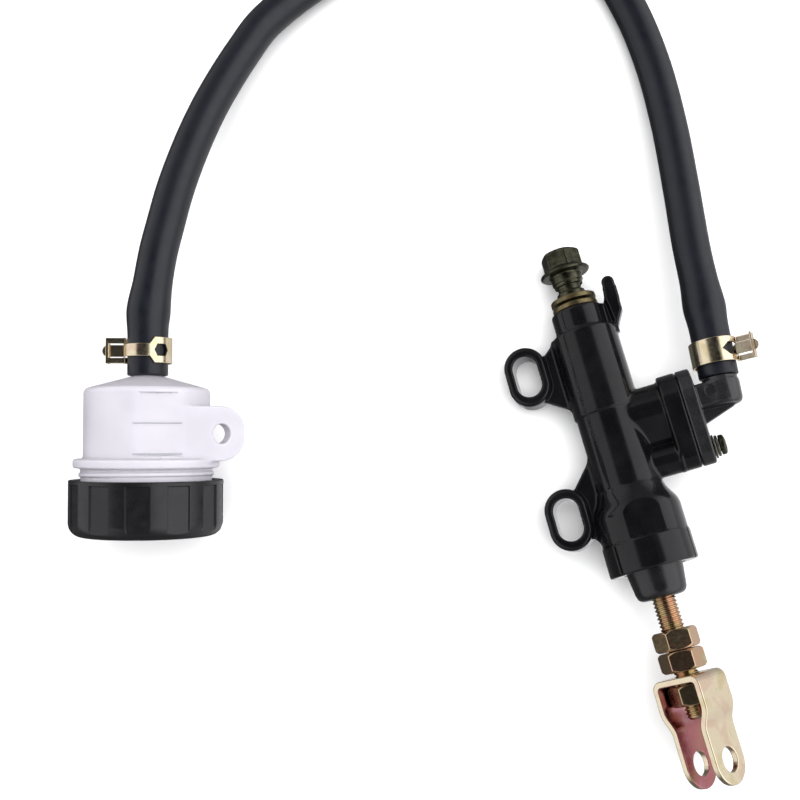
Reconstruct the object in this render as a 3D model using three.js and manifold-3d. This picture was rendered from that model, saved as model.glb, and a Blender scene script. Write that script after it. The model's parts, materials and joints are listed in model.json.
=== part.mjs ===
// Motorcycle rear brake master cylinder with its remote reservoir and hose, lying on a bench.
//
// Units are millimetres and +Z is up. The cylinder and the reservoir are each modelled upright, with
// their front towards -Y, and then laid down on their backs, so that the front faces up.
// In the cylinder's own frame the bore runs along Z, z = 0 is the banjo bolt's seat on the housing,
// and the pushrod points down. In the reservoir's own frame z = 0 is the outer face of the cap and
// the hose nozzle points up.
import * as THREE from "three";
import { mergeVertices } from "three/addons/utils/BufferGeometryUtils.js";
import Module from "manifold-3d";

const wasm = await Module();
wasm.setup();

// ---- driving dimensions -------------------------------------------------------------------------

const gap = 0.3; // clearance between pieces that touch

// How the two assemblies lie on the bench.
const cylinderPlace = [54.0, 66.05, 10.85];
const cylinderTurn = 14.1; // degrees about the vertical
const cylinderPitch = 4.2; // degrees by which the pushrod end is higher
const cylinderRoll = -14; // degrees about the bore; the lugs hang down to the bench
const reservoirPlace = [-87.0, -10.6, 23.35];
const reservoirPitch = -8; // degrees; the hose holds the nozzle end up

// Housing.
const boss = { radius: 8.8, length: 6.5 };
const tube = { upperRadius: 11.1, lowerRadius: 10.5, stepZ: -37.2 };
const collar = { radius: 14.1, shoulderZ: -64.5, topZ: -70.2, bandTopZ: -79.6, endZ: -90 };
collar.bandRadius = 14.5;
collar.flatReach = 12.9; // two flats, in front and behind
collar.flatTurn = 9;
const bolthole = { radius: 5.3, depth: 17 };
const bore = { radius: 7, topZ: -21, endZ: -73 };
const mouth = { radius: 10 };
const lug = { reach: 21.9, spacing: 50, firstZ: -17.8, width: 14.2, height: 20.6, slotWidth: 8.4 };
lug.slotHeight = 14.2;
lug.thickness = 10;
lug.webThickness = 4;
lug.webs = [
  { highZ: -7, lowZ: -33.2, ringHighZ: -13, ringLowZ: -27.5 },
  { highZ: -49.5, lowZ: -79, ringHighZ: -58.5, ringLowZ: -75 },
];
const port = { z: -40.3, radius: 8.4, holeRadius: 3, bigRadius: 10, smallRadius: 5.2, screwZ: -57.4 };
port.neck = { radius: 4.5, z: -48 }; // the port's boss runs down to meet the screw's boss
port.flangeX = 18;
port.faceX = 24.4;

// Elbow, its screw and its seal.
const elbow = { faceX: port.faceX + gap, flangeThickness: 4.4, turnX: 37.8, lean: 6.1 };
elbow.outerX = elbow.faceX + elbow.flangeThickness;
elbow.postRadius = 6.1;
elbow.arm = { half: 5.2, lowZ: -44.9, highZ: -36.9 };
elbow.hoseEndZ = -36.2;
const nipple = { radius: 4.2, boreRadius: 2.6, length: 32 };
const seal = { outer: 6.2, inner: 4.3, thickness: 1.4 };
const screw = { shankRadius: 2.1, holeRadius: 2.5, headRadius: 3.3, headHeight: 2.2, reach: 9 };
screw.crossWidth = 1;
screw.crossLength = 3.8;
const plainWasher = { outer: 3.9, inner: 2.6, thickness: 0.6 };
const springWasher = { outer: 3.5, inner: 2.6, thickness: 0.8, split: 0.8 };

// Banjo bolt and its washers.
const bolt = { shankRadius: 4.9, flangeRadius: 8.3, headFlats: 12, flangeZ: 13.4, topZ: 22.2 };
bolt.endZ = -8;
bolt.flangeThickness = 2.6;
bolt.chamferRadius = 7.4; // the cone that takes off the head's corners
bolt.crossHoleRadius = 1.5;
bolt.crossHoleZ = 8;
bolt.drillRadius = 1.8;
const sealWasher = { outer: 7.7, inner: 5.2, thickness: 1.7, openGap: 0.9 };

// Piston group.
const piston = { frontZ: -42, rearZ: -73.5 };
const ball = { z: -71.5, radius: 4.6, topClearance: 0.4, sideClearance: 0.9 };
const stopWasher = { outer: 9.4, inner: 4.35, topZ: -75.4, thickness: 1.2 };
const clip = { outer: 11, inner: 8.2, topZ: -77.6, thickness: 1.2 };

// Pushrod, nuts and clevis.
const rod = { radius: 3.9, neckRadius: 3.3, neckZ: -83, tipZ: -137.6 };
const nut = { flats: 12.8, height: 6.3, chamfer: 0.8, upperTopZ: -109.8 };
const clevis = { topZ: -124.2, thickness: 2, width: 15.4, bridgeHalf: 7.8, earHalf: 5.4, length: 34.6 };
clevis.bendRadius = 2;
clevis.pinchTopZ = clevis.topZ - 9.5;
clevis.pinchEndZ = clevis.topZ - 17;
clevis.turn = 34;
clevis.holeRadius = 3.8;

// Rubber boot on the housing's mouth.
const boot = { topRadius: 9.2, endRadius: 8, topZ: -88, endZ: -99.4, wall: 1.5, openRadius: 5.9 };

// Reservoir, in its own frame.
const cap = { radius: 24.2, height: 17.8, edge: 4.5, wall: 2.2, innerRadius: 21.6 };
cap.flutes = 12;
cap.fluteDepth = 0.7;
cap.fluteWidth = 7;
cap.fluteTopMargin = 1.2;
cap.fluteTurn = 6;
const vessel = { radius: 19.8, inner: 17.6, ringRadius: 22.9, ringLowZ: 21.6, ringHighZ: 24.4 };
vessel.neckRadius = 20.5;
vessel.mouthZ = 6.4;
vessel.shoulderZ = 46.6;
vessel.topZ = 50;
vessel.threadRadius = 21.1;
const sightFlat = { depth: 1.7, turn: 22.4 };
const nozzle = { radius: 4.2, boreRadius: 2.6, length: 25 };
const tab = { tangentAngle: 53, thickness: 4.6, endRadius: 8.7, holeRadius: 3.1, holeReach: 16.3, z: 32.4 };
const liner = { radius: 20, plateThickness: 1.4, cupRadius: 14, cupDepth: 13, wall: 1.2 };

// Hose and clamps.
const hose = { radius: 6.2, innerRadius: 4.95, sides: 10 };
const clampBand = { radius: 6.95, thickness: 0.7, height: 8.2, tongueHeight: 3.8, earReach: 5.6 };
const reservoirClampZ = 58.9;
const elbowClampLift = 8.2; // from the hose's end along the nipple
const elbowClampTurn = 165; // degrees; its ears point away from the housing

// ---- finishes -----------------------------------------------------------------------------------

function finish(color, roughness, metalness) {
  return new THREE.MeshStandardMaterial({ color, roughness, metalness });
}

const blackPaint = () => finish(0x0c0c0e, 0.22, 0.0);
const blackPlastic = () => finish(0x141416, 0.4, 0.0);
const blackRubber = () => finish(0x1b1c20, 0.55, 0.0);
const yellowZinc = () => finish(0xc9a86a, 0.3, 0.9);
const oliveZinc = () => finish(0x4d4a34, 0.4, 0.8);
const plainSteel = () => finish(0x9a9a98, 0.35, 0.9);
const brassWasher = () => finish(0x8a7a3e, 0.45, 0.8);
const milkyPlastic = () => finish(0xe9e9ee, 0.4, 0.0);
const capPlastic = () => finish(0x1c1c1f, 0.5, 0.0);
const bareAluminium = () => finish(0xb9bcc0, 0.35, 0.8);

// ---- shape helpers ------------------------------------------------------------------------------

const radians = THREE.MathUtils.degToRad;

// A closed geometry as a manifold solid, with its faces turned outwards.
function solid(geometry) {
  const bare = geometry.clone();
  bare.deleteAttribute("normal");
  bare.deleteAttribute("uv");
  const merged = mergeVertices(bare, 1e-4);
  const place = merged.attributes.position;
  const corners = merged.index.array;
  const kept = [];
  const a = new THREE.Vector3();
  const b = new THREE.Vector3();
  const c = new THREE.Vector3();
  let volume = 0;
  for (let i = 0; i < corners.length; i += 3) {
    const [p, q, r] = [corners[i], corners[i + 1], corners[i + 2]];
    if (p === q || q === r || r === p) continue;
    kept.push(p, q, r);
    a.fromBufferAttribute(place, p);
    b.fromBufferAttribute(place, q);
    c.fromBufferAttribute(place, r);
    volume += a.dot(b.cross(c));
  }
  const triVerts = new Uint32Array(volume < 0 ? kept.reverse() : kept);
  const vertProperties = new Float32Array(place.array);
  return new wasm.Manifold(new wasm.Mesh({ numProp: 3, vertProperties, triVerts }));
}

function geometryOf(manifold) {
  const result = manifold.getMesh();
  const geometry = new THREE.BufferGeometry();
  geometry.setAttribute("position", new THREE.BufferAttribute(result.vertProperties, 3));
  geometry.setIndex(new THREE.BufferAttribute(result.triVerts, 1));
  geometry.computeVertexNormals();
  return geometry;
}

function fused(...geometries) {
  return geometryOf(geometries.map(solid).reduce((whole, next) => whole.add(next)));
}

function cut(geometry, ...tools) {
  return geometryOf(tools.map(solid).reduce((whole, next) => whole.subtract(next), solid(geometry)));
}

function common(first, second) {
  return geometryOf(solid(first).intersect(solid(second)));
}

// A profile of [radius, z] points turned about Z.
function turned(profile, segments = 24) {
  const points = profile.map(([radius, z]) => new THREE.Vector2(radius, z));
  return new THREE.LatheGeometry(points, segments).rotateX(Math.PI / 2);
}

function disc(radius, lowZ, highZ, segments = 24) {
  return turned([[0, lowZ], [radius, lowZ], [radius, highZ], [0, highZ]], segments);
}

function ring(outer, inner, lowZ, highZ, segments = 24) {
  return turned([[inner, lowZ], [outer, lowZ], [outer, highZ], [inner, highZ], [inner, lowZ]], segments);
}

// A prism with the given number of sides, across flats, with two flats facing -Y and +Y.
function prism(flats, sides, lowZ, highZ) {
  const radius = flats / 2 / Math.cos(Math.PI / sides);
  return disc(radius, lowZ, highZ, sides).rotateZ(Math.PI / sides);
}

function box(xs, ys, zs) {
  const size = [xs, ys, zs].map(([low, high]) => high - low);
  const middle = [xs, ys, zs].map(([low, high]) => (low + high) / 2);
  return new THREE.BoxGeometry(...size).translate(...middle);
}

// A shape drawn in X and Z, thick along Y and centred on it.
function uprightPlate(shape, thickness, curveSegments = 7) {
  const options = { depth: thickness, bevelEnabled: false, curveSegments };
  return new THREE.ExtrudeGeometry(shape, options).rotateX(Math.PI / 2).translate(0, thickness / 2, 0);
}

// A shape drawn in Y and Z, thick along X from the given x.
function sidePlate(shape, fromX, thickness, curveSegments = 9) {
  const options = { depth: thickness, bevelEnabled: false, curveSegments };
  const toSide = new THREE.Matrix4().makeBasis(
    new THREE.Vector3(0, 1, 0),
    new THREE.Vector3(0, 0, 1),
    new THREE.Vector3(1, 0, 0),
  );
  return new THREE.ExtrudeGeometry(shape, options).applyMatrix4(toSide).translate(fromX, 0, 0);
}

// A round bar along X at height z.
function sideBar(radius, fromX, toX, z, segments = 20) {
  return disc(radius, fromX, toX, segments).rotateY(Math.PI / 2).translate(0, 0, z);
}

function polygon(points) {
  return new THREE.Shape(points.map(([x, y]) => new THREE.Vector2(x, y)));
}

// A slot outline with round ends, its long way along the second axis.
function stadium(x, y, width, height) {
  const radius = width / 2;
  const straight = height / 2 - radius;
  const shape = new THREE.Shape();
  shape.absarc(x, y + straight, radius, 0, Math.PI, false);
  shape.absarc(x, y - straight, radius, Math.PI, 2 * Math.PI, false);
  shape.closePath();
  return shape;
}

// A drop-shaped flange outline: a big circle at upperY and a small one at lowerY, joined by tangents.
function dropOutline(bigRadius, upperY, smallRadius, lowerY) {
  const slope = Math.asin((bigRadius - smallRadius) / (upperY - lowerY));
  const shape = new THREE.Shape();
  shape.absarc(0, upperY, bigRadius, -slope, Math.PI + slope, false);
  shape.absarc(0, lowerY, smallRadius, Math.PI + slope, 2 * Math.PI - slope, false);
  shape.closePath();
  return shape;
}

// The turn that lays an upright assembly on its back.
function laidDown(place, turn, pitch, roll) {
  const about = (axis, degrees) => new THREE.Quaternion().setFromAxisAngle(axis, radians(degrees));
  const group = new THREE.Group();
  const up = new THREE.Vector3(0, 0, 1);
  const side = new THREE.Vector3(1, 0, 0);
  group.quaternion.copy(about(up, turn)).multiply(about(side, -90 - pitch)).multiply(about(up, roll));
  group.position.set(...place);
  return group;
}

const model = new THREE.Group();
const cylinder = laidDown(cylinderPlace, cylinderTurn, cylinderPitch, cylinderRoll);
const reservoir = laidDown(reservoirPlace, 0, reservoirPitch, 0);
model.add(cylinder, reservoir);

function addPart(parent, name, geometry, material) {
  const mesh = new THREE.Mesh(geometry, material);
  mesh.name = name;
  parent.add(mesh);
  return mesh;
}

// ---- housing ------------------------------------------------------------------------------------

// One mounting lug: a slotted ring and the thin web that ties it to the tube.
function lugRing(z, web) {
  const outline = stadium(-lug.reach, z, lug.width, lug.height);
  const rootX = -9;
  const ringX = -16;
  const plate = polygon([[rootX, web.highZ], [rootX, web.lowZ], [ringX, web.ringLowZ], [ringX, web.ringHighZ]]);
  return fused(uprightPlate(outline, lug.thickness), uprightPlate(plate, lug.webThickness));
}

function lugSlot(z) {
  return uprightPlate(stadium(-lug.reach, z, lug.slotWidth, lug.slotHeight), lug.thickness + 2);
}

function hornPlate() {
  const shape = new THREE.Shape();
  shape.moveTo(7, -5);
  shape.lineTo(8, -0.6);
  shape.quadraticCurveTo(10.6, 0.6, 10.7, 3.6);
  shape.lineTo(10.9, 5.8);
  shape.absarc(13, 6, 2.1, Math.PI, 0, true);
  shape.lineTo(15, -4.2);
  shape.lineTo(11, -10.6);
  shape.lineTo(7, -10.6);
  shape.closePath();
  return uprightPlate(shape, 5.2, 6);
}

function cylinderBody() {
  const outside = turned([
    [0, 0],
    [boss.radius - 0.5, 0],
    [boss.radius, -0.6],
    [boss.radius, -boss.length],
    [tube.upperRadius, -boss.length - 2.4],
    [tube.upperRadius, tube.stepZ],
    [tube.lowerRadius, tube.stepZ - 0.7],
    [tube.lowerRadius, collar.shoulderZ],
    [collar.radius, collar.topZ],
    [collar.radius, collar.bandTopZ],
    [collar.bandRadius, collar.bandTopZ - 0.4],
    [collar.bandRadius, collar.endZ],
    [0, collar.endZ],
  ], 36);
  const lugZs = [lug.firstZ, lug.firstZ - lug.spacing];
  const collarHeights = [collar.bandTopZ, collar.shoulderZ];
  const frontFlat = box([-collar.radius, collar.radius], [-20, -collar.flatReach], collarHeights);
  const backFlat = box([-collar.radius, collar.radius], [collar.flatReach, 20], collarHeights);
  const flangeOutline = dropOutline(port.bigRadius, port.z, port.smallRadius, port.screwZ);
  const solidBody = fused(
    outside,
    lugRing(lugZs[0], lug.webs[0]),
    lugRing(lugZs[1], lug.webs[1]),
    hornPlate(),
    sidePlate(dropOutline(port.radius, port.z, port.neck.radius, port.neck.z), 4, port.flangeX - 3),
    sideBar(port.smallRadius, 4, port.flangeX + 1, port.screwZ),
    sidePlate(flangeOutline, port.flangeX, port.faceX - port.flangeX),
  );
  const hollow = turned([
    [0, 1],
    [bolthole.radius, 1],
    [bolthole.radius, -bolthole.depth],
    [2, -bolthole.depth - 1.5],
    [2, bore.topZ],
    [bore.radius, bore.topZ],
    [bore.radius, bore.endZ],
    [mouth.radius, bore.endZ],
    [mouth.radius, clip.topZ + gap],
    [clip.outer + gap, clip.topZ + gap],
    [clip.outer + gap, clip.topZ - clip.thickness - gap],
    [mouth.radius, clip.topZ - clip.thickness - gap],
    [mouth.radius, collar.endZ - 1],
    [0, collar.endZ - 1],
  ]);
  return cut(
    solidBody,
    hollow,
    frontFlat.rotateZ(radians(collar.flatTurn)),
    backFlat.rotateZ(radians(collar.flatTurn)),
    lugSlot(lugZs[0]),
    lugSlot(lugZs[1]),
    sideBar(port.holeRadius, 5, port.faceX + 1, port.z, 16),
    sideBar(6.6, port.faceX - 1.7, port.faceX + 1, port.z, 20),
    sideBar(screw.holeRadius, port.faceX - 11, port.faceX + 1, port.screwZ, 16),
  );
}

addPart(cylinder, "cylinder_body", cylinderBody(), blackPaint());

// ---- banjo bolt and sealing washers -------------------------------------------------------------

function banjoBolt() {
  const grooveRadius = bolt.shankRadius - 0.7;
  const flangeTopZ = bolt.flangeZ + bolt.flangeThickness;
  const shank = turned([
    [0, bolt.endZ],
    [bolt.shankRadius - 0.8, bolt.endZ],
    [bolt.shankRadius, bolt.endZ + 1],
    [bolt.shankRadius, bolt.crossHoleZ - 1.8],
    [grooveRadius, bolt.crossHoleZ - 1.2],
    [grooveRadius, bolt.crossHoleZ + 1],
    [bolt.shankRadius, bolt.crossHoleZ + 1.6],
    [bolt.shankRadius, bolt.flangeZ],
    [bolt.flangeRadius, bolt.flangeZ],
    [bolt.flangeRadius, bolt.flangeZ + 1.1],
    [bolt.headFlats / 2, flangeTopZ],
    [0, flangeTopZ],
  ], 20);
  const chamfer = turned([
    [0, bolt.flangeZ],
    [bolt.chamferRadius, bolt.flangeZ],
    [bolt.chamferRadius, bolt.topZ - 1.4],
    [bolt.headFlats / 2 - 1, bolt.topZ],
    [0, bolt.topZ],
  ], 18);
  const head = common(prism(bolt.headFlats, 6, bolt.flangeZ + 1, bolt.topZ), chamfer);
  const crossHole = sideBar(bolt.crossHoleRadius, -8, 8, bolt.crossHoleZ, 12);
  const drilling = disc(bolt.drillRadius, bolt.endZ - 1, bolt.crossHoleZ + 1, 12);
  return cut(fused(shank, head), crossHole, drilling);
}

addPart(cylinder, "banjo_bolt", banjoBolt(), oliveZinc());
const lowerWasherZ = gap;
const upperWasherZ = lowerWasherZ + sealWasher.thickness + sealWasher.openGap;
for (const [name, z] of [["sealing_washer_lower", lowerWasherZ], ["sealing_washer_upper", upperWasherZ]]) {
  const washer = ring(sealWasher.outer, sealWasher.inner, z, z + sealWasher.thickness);
  addPart(cylinder, name, washer, brassWasher());
}

// ---- elbow, seal and screw ----------------------------------------------------------------------

// The hose's nipple direction, leaning outwards from the bore's direction.
function alongNipple(geometry) {
  return geometry.rotateY(radians(elbow.lean)).translate(elbow.turnX, 0, elbow.hoseEndZ);
}

function inletElbow() {
  const flange = sidePlate(
    dropOutline(port.bigRadius, port.z, port.smallRadius, port.screwZ),
    elbow.faceX,
    elbow.flangeThickness,
  );
  const rib = polygon([[elbow.outerX - 1, -50], [elbow.outerX - 1, -42], [41, -42], [39.5, -45.6]]);
  const outside = fused(
    flange,
    box([elbow.outerX - 1, elbow.turnX], [-elbow.arm.half, elbow.arm.half], [elbow.arm.lowZ, elbow.arm.highZ]),
    alongNipple(disc(elbow.postRadius, -8.6, 0, 24)),
    alongNipple(disc(nipple.radius, -1, nipple.length, 24)),
    uprightPlate(rib, 2.4),
  );
  return cut(
    outside,
    sideBar(nipple.boreRadius, elbow.faceX - 1, elbow.turnX + 1, port.z, 16),
    alongNipple(disc(nipple.boreRadius, -5.5, nipple.length + 1, 16)),
    sideBar(screw.holeRadius, elbow.faceX - 1, elbow.outerX + 1, port.screwZ, 16),
  );
}

addPart(cylinder, "inlet_elbow", inletElbow(), blackPlastic());

function inletSeal() {
  const around = ring(seal.outer, seal.inner, port.faceX - seal.thickness, port.faceX, 20);
  return around.rotateY(Math.PI / 2).translate(0, 0, port.z);
}

addPart(cylinder, "inlet_seal", inletSeal(), blackRubber());

function onScrew(geometry) {
  return geometry.rotateY(Math.PI / 2).translate(0, 0, port.screwZ);
}

const plainWasherX = elbow.outerX + gap;
const springWasherX = plainWasherX + plainWasher.thickness + gap;
const headX = springWasherX + springWasher.thickness + gap;

function washerRing(washer, fromX) {
  return ring(washer.outer, washer.inner, fromX, fromX + washer.thickness, 20);
}

function splitWasher() {
  const half = springWasher.split / 2;
  const endX = springWasherX + springWasher.thickness;
  const split = box([1, springWasher.outer + 1], [-half, half], [springWasherX - 1, endX + 1]);
  return cut(washerRing(springWasher, springWasherX), split);
}

addPart(cylinder, "elbow_plain_washer", onScrew(washerRing(plainWasher, plainWasherX)), plainSteel());
addPart(cylinder, "elbow_spring_washer", onScrew(splitWasher()), plainSteel());

function elbowScrew() {
  const endX = port.faceX - screw.reach;
  const topX = headX + screw.headHeight;
  const body = turned([
    [0, endX],
    [screw.shankRadius, endX],
    [screw.shankRadius, headX],
    [screw.headRadius, headX],
    [screw.headRadius, headX + screw.headHeight / 2],
    [screw.headRadius - 1.3, topX],
    [0, topX],
  ], 20);
  const across = [-screw.crossWidth / 2, screw.crossWidth / 2];
  const along = [-screw.crossLength / 2, screw.crossLength / 2];
  const depth = [topX - 1.2, topX + 1];
  return onScrew(cut(body, fused(box(along, across, depth), box(across, along, depth))));
}

addPart(cylinder, "elbow_screw", elbowScrew(), oliveZinc());

// ---- inside the bore ----------------------------------------------------------------------------

const cupGrooves = [[piston.frontZ - 3.2, piston.frontZ - 7.2], [piston.frontZ - 20.6, piston.frontZ - 24.6]];

function pistonShape() {
  const full = bore.radius - gap;
  const [[primaryHigh, primaryLow], [secondaryHigh, secondaryLow]] = cupGrooves;
  const outside = turned([
    [0, piston.frontZ + 4],
    [3.4, piston.frontZ + 4],
    [3.4, piston.frontZ],
    [full, piston.frontZ],
    [full, primaryHigh],
    [4.2, primaryHigh],
    [4.2, primaryLow],
    [full, primaryLow],
    [full, primaryLow - 2],
    [4.6, primaryLow - 3],
    [4.6, secondaryHigh + 3],
    [full, secondaryHigh + 2],
    [full, secondaryHigh],
    [4.2, secondaryHigh],
    [4.2, secondaryLow],
    [full, secondaryLow],
    [full, piston.rearZ],
    [0, piston.rearZ],
  ], 20);
  const socketRadius = ball.radius + ball.sideClearance;
  const socket = turned([
    [0, ball.z + ball.radius + ball.topClearance],
    [0.72 * socketRadius, ball.z + 0.85 * ball.radius],
    [socketRadius, ball.z + 0.6],
    [socketRadius, piston.rearZ - 1],
    [0, piston.rearZ - 1],
  ], 24);
  return cut(outside, socket);
}

addPart(cylinder, "piston", pistonShape(), bareAluminium());

// A lipped cup in its groove; its open side faces the pressure.
function cup([highZ, lowZ]) {
  const inner = 4.2 + gap;
  const top = highZ - gap;
  const bottom = lowZ + gap;
  const outer = bore.radius - gap;
  return turned([
    [inner, bottom],
    [outer, bottom],
    [outer, top],
    [outer - 0.7, top],
    [inner + 0.9, top - 2],
    [inner, top - 2],
    [inner, bottom],
  ], 20);
}

addPart(cylinder, "primary_cup", cup(cupGrooves[0]), blackRubber());
addPart(cylinder, "secondary_cup", cup(cupGrooves[1]), blackRubber());

class Coil extends THREE.Curve {
  constructor(radius, topZ, bottomZ, turns) {
    super();
    Object.assign(this, { radius, topZ, bottomZ, turns });
  }

  getPoint(t, target = new THREE.Vector3()) {
    const angle = 2 * Math.PI * this.turns * t;
    const z = THREE.MathUtils.lerp(this.topZ, this.bottomZ, t);
    return target.set(this.radius * Math.cos(angle), this.radius * Math.sin(angle), z);
  }
}

function circlePoints(radius, sides) {
  const points = [];
  for (let i = 0; i < sides; i += 1) {
    const angle = (2 * Math.PI * i) / sides;
    points.push(new THREE.Vector2(radius * Math.cos(angle), radius * Math.sin(angle)));
  }
  return points;
}

function returnSpring() {
  const wire = 0.65;
  const turns = 6;
  const path = new Coil(5, bore.topZ - wire - gap, piston.frontZ + wire + gap, turns);
  const options = { steps: turns * 10, bevelEnabled: false, extrudePath: path };
  return new THREE.ExtrudeGeometry(new THREE.Shape(circlePoints(wire, 6)), options);
}

addPart(cylinder, "return_spring", geometryOf(solid(returnSpring())), plainSteel());

function stopWasherRing() {
  const { outer, inner, topZ, thickness } = stopWasher;
  return ring(outer, inner, topZ - thickness, topZ);
}

addPart(cylinder, "stop_washer", stopWasherRing(), plainSteel());

function circlip() {
  const lowZ = clip.topZ - clip.thickness;
  const hoop = ring(clip.outer, clip.inner, lowZ, clip.topZ, 28);
  return cut(hoop, box([-1.6, 1.6], [-clip.outer - 1, 0], [lowZ - 1, clip.topZ + 1]));
}

addPart(cylinder, "circlip", circlip(), plainSteel());

// ---- pushrod, nuts and clevis -------------------------------------------------------------------

function pushrod() {
  const neckTop = ball.z - Math.sqrt(ball.radius ** 2 - rod.neckRadius ** 2);
  const profile = [
    [0, rod.tipZ],
    [rod.radius - 0.7, rod.tipZ],
    [rod.radius, rod.tipZ + 0.7],
    [rod.radius, rod.neckZ - 1],
    [rod.neckRadius, rod.neckZ],
    [rod.neckRadius, neckTop],
  ];
  const arcSteps = 6;
  const start = Math.atan2(neckTop - ball.z, rod.neckRadius);
  for (let i = 1; i < arcSteps; i += 1) {
    const angle = THREE.MathUtils.lerp(start, Math.PI / 2, i / arcSteps);
    profile.push([ball.radius * Math.cos(angle), ball.z + ball.radius * Math.sin(angle)]);
  }
  profile.push([0, ball.z + ball.radius]);
  return turned(profile, 20);
}

addPart(cylinder, "pushrod", geometryOf(solid(pushrod())), yellowZinc());

function hexNut(topZ) {
  const lowZ = topZ - nut.height;
  const corner = nut.flats / 2 / Math.cos(Math.PI / 6);
  const chamfer = turned([
    [0, lowZ],
    [nut.flats / 2, lowZ],
    [corner, lowZ + nut.chamfer],
    [corner, topZ - nut.chamfer],
    [nut.flats / 2, topZ],
    [0, topZ],
  ]);
  const hole = disc(rod.radius + gap, lowZ - 1, topZ + 1, 20);
  return cut(common(prism(nut.flats, 6, lowZ, topZ), chamfer), hole);
}

const lowerNutTopZ = nut.upperTopZ - nut.height - gap;
const innerNutTopZ = clevis.topZ - clevis.thickness - 2 * gap;
addPart(cylinder, "lock_nut_upper", hexNut(nut.upperTopZ), yellowZinc());
addPart(cylinder, "lock_nut_lower", hexNut(lowerNutTopZ), yellowZinc());
addPart(cylinder, "clevis_nut", hexNut(innerNutTopZ).rotateZ(radians(90 - clevis.turn)), yellowZinc());

// Half of the strip's outline from the bridge's middle down one ear, at an offset from the mid-line.
function clevisEdge(offset) {
  const wide = clevis.bridgeHalf + offset;
  const narrow = clevis.earHalf + offset;
  const topZ = clevis.topZ - clevis.thickness / 2 + offset;
  const radius = clevis.bendRadius + offset;
  const edge = [];
  for (let i = 0; i <= 4; i += 1) {
    const angle = (Math.PI / 2) * (1 - i / 4);
    edge.push([wide - radius + radius * Math.cos(angle), topZ - radius + radius * Math.sin(angle)]);
  }
  for (let i = 0; i <= 6; i += 1) {
    const t = i / 6;
    const x = THREE.MathUtils.lerp(wide, narrow, (1 - Math.cos(Math.PI * t)) / 2);
    edge.push([x, THREE.MathUtils.lerp(clevis.pinchTopZ, clevis.pinchEndZ, t)]);
  }
  edge.push([narrow, clevis.topZ - clevis.length]);
  return edge;
}

function clevisShape() {
  const outer = clevisEdge(clevis.thickness / 2);
  const inner = clevisEdge(-clevis.thickness / 2);
  const mirrored = (edge) => edge.map(([x, z]) => [-x, z]);
  const outline = [...mirrored(outer).reverse(), ...outer, ...inner.slice().reverse(), ...mirrored(inner)];
  const strip = uprightPlate(polygon(outline), clevis.width);
  const radius = clevis.width / 2;
  const tipZ = clevis.topZ - clevis.length;
  const face = new THREE.Shape();
  face.moveTo(radius, clevis.topZ + 1);
  face.lineTo(-radius, clevis.topZ + 1);
  face.absarc(0, tipZ + radius, radius, Math.PI, 2 * Math.PI, false);
  face.closePath();
  const reach = clevis.bridgeHalf + clevis.thickness;
  const silhouette = sidePlate(face, -reach, 2 * reach, 10);
  const pinHole = sideBar(clevis.holeRadius, -reach, reach, tipZ + radius, 20);
  const rodHole = disc(rod.radius + gap, clevis.topZ - 4, clevis.topZ + 2, 24);
  return cut(common(strip, silhouette), pinHole, rodHole).rotateZ(radians(-clevis.turn));
}

addPart(cylinder, "clevis", clevisShape(), yellowZinc());

// ---- boot ---------------------------------------------------------------------------------------

function dustBoot() {
  const round = 2;
  return turned([
    [boot.openRadius, boot.endZ],
    [boot.endRadius - round, boot.endZ],
    [boot.endRadius - 0.5, boot.endZ + 0.7],
    [boot.endRadius, boot.endZ + round],
    [boot.topRadius, collar.endZ - gap],
    [boot.topRadius, boot.topZ + 5],
    [boot.topRadius - boot.wall, boot.topZ + 5],
    [boot.topRadius - boot.wall, collar.endZ],
    [boot.endRadius - boot.wall, boot.endZ + boot.wall],
    [boot.openRadius, boot.endZ + boot.wall],
    [boot.openRadius, boot.endZ],
  ], 28);
}

addPart(cylinder, "dust_boot", dustBoot(), blackRubber());

// ---- reservoir ----------------------------------------------------------------------------------

function tabPlate() {
  const outline = new THREE.Shape();
  outline.moveTo(-6, tab.z - tab.endRadius);
  outline.absarc(tab.holeReach, tab.z, tab.endRadius, -Math.PI / 2, Math.PI / 2, false);
  outline.lineTo(-6, tab.z + tab.endRadius);
  outline.closePath();
  const hole = new THREE.Path();
  hole.absarc(tab.holeReach, tab.z, tab.holeRadius, 0, 2 * Math.PI, true);
  outline.holes.push(hole);
  // The plate's front face is tangent to the vessel, at the tangent angle up from its side.
  return uprightPlate(outline, tab.thickness)
    .translate(0, -vessel.radius + tab.thickness / 2, 0)
    .rotateZ(radians(90 - tab.tangentAngle));
}

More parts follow.
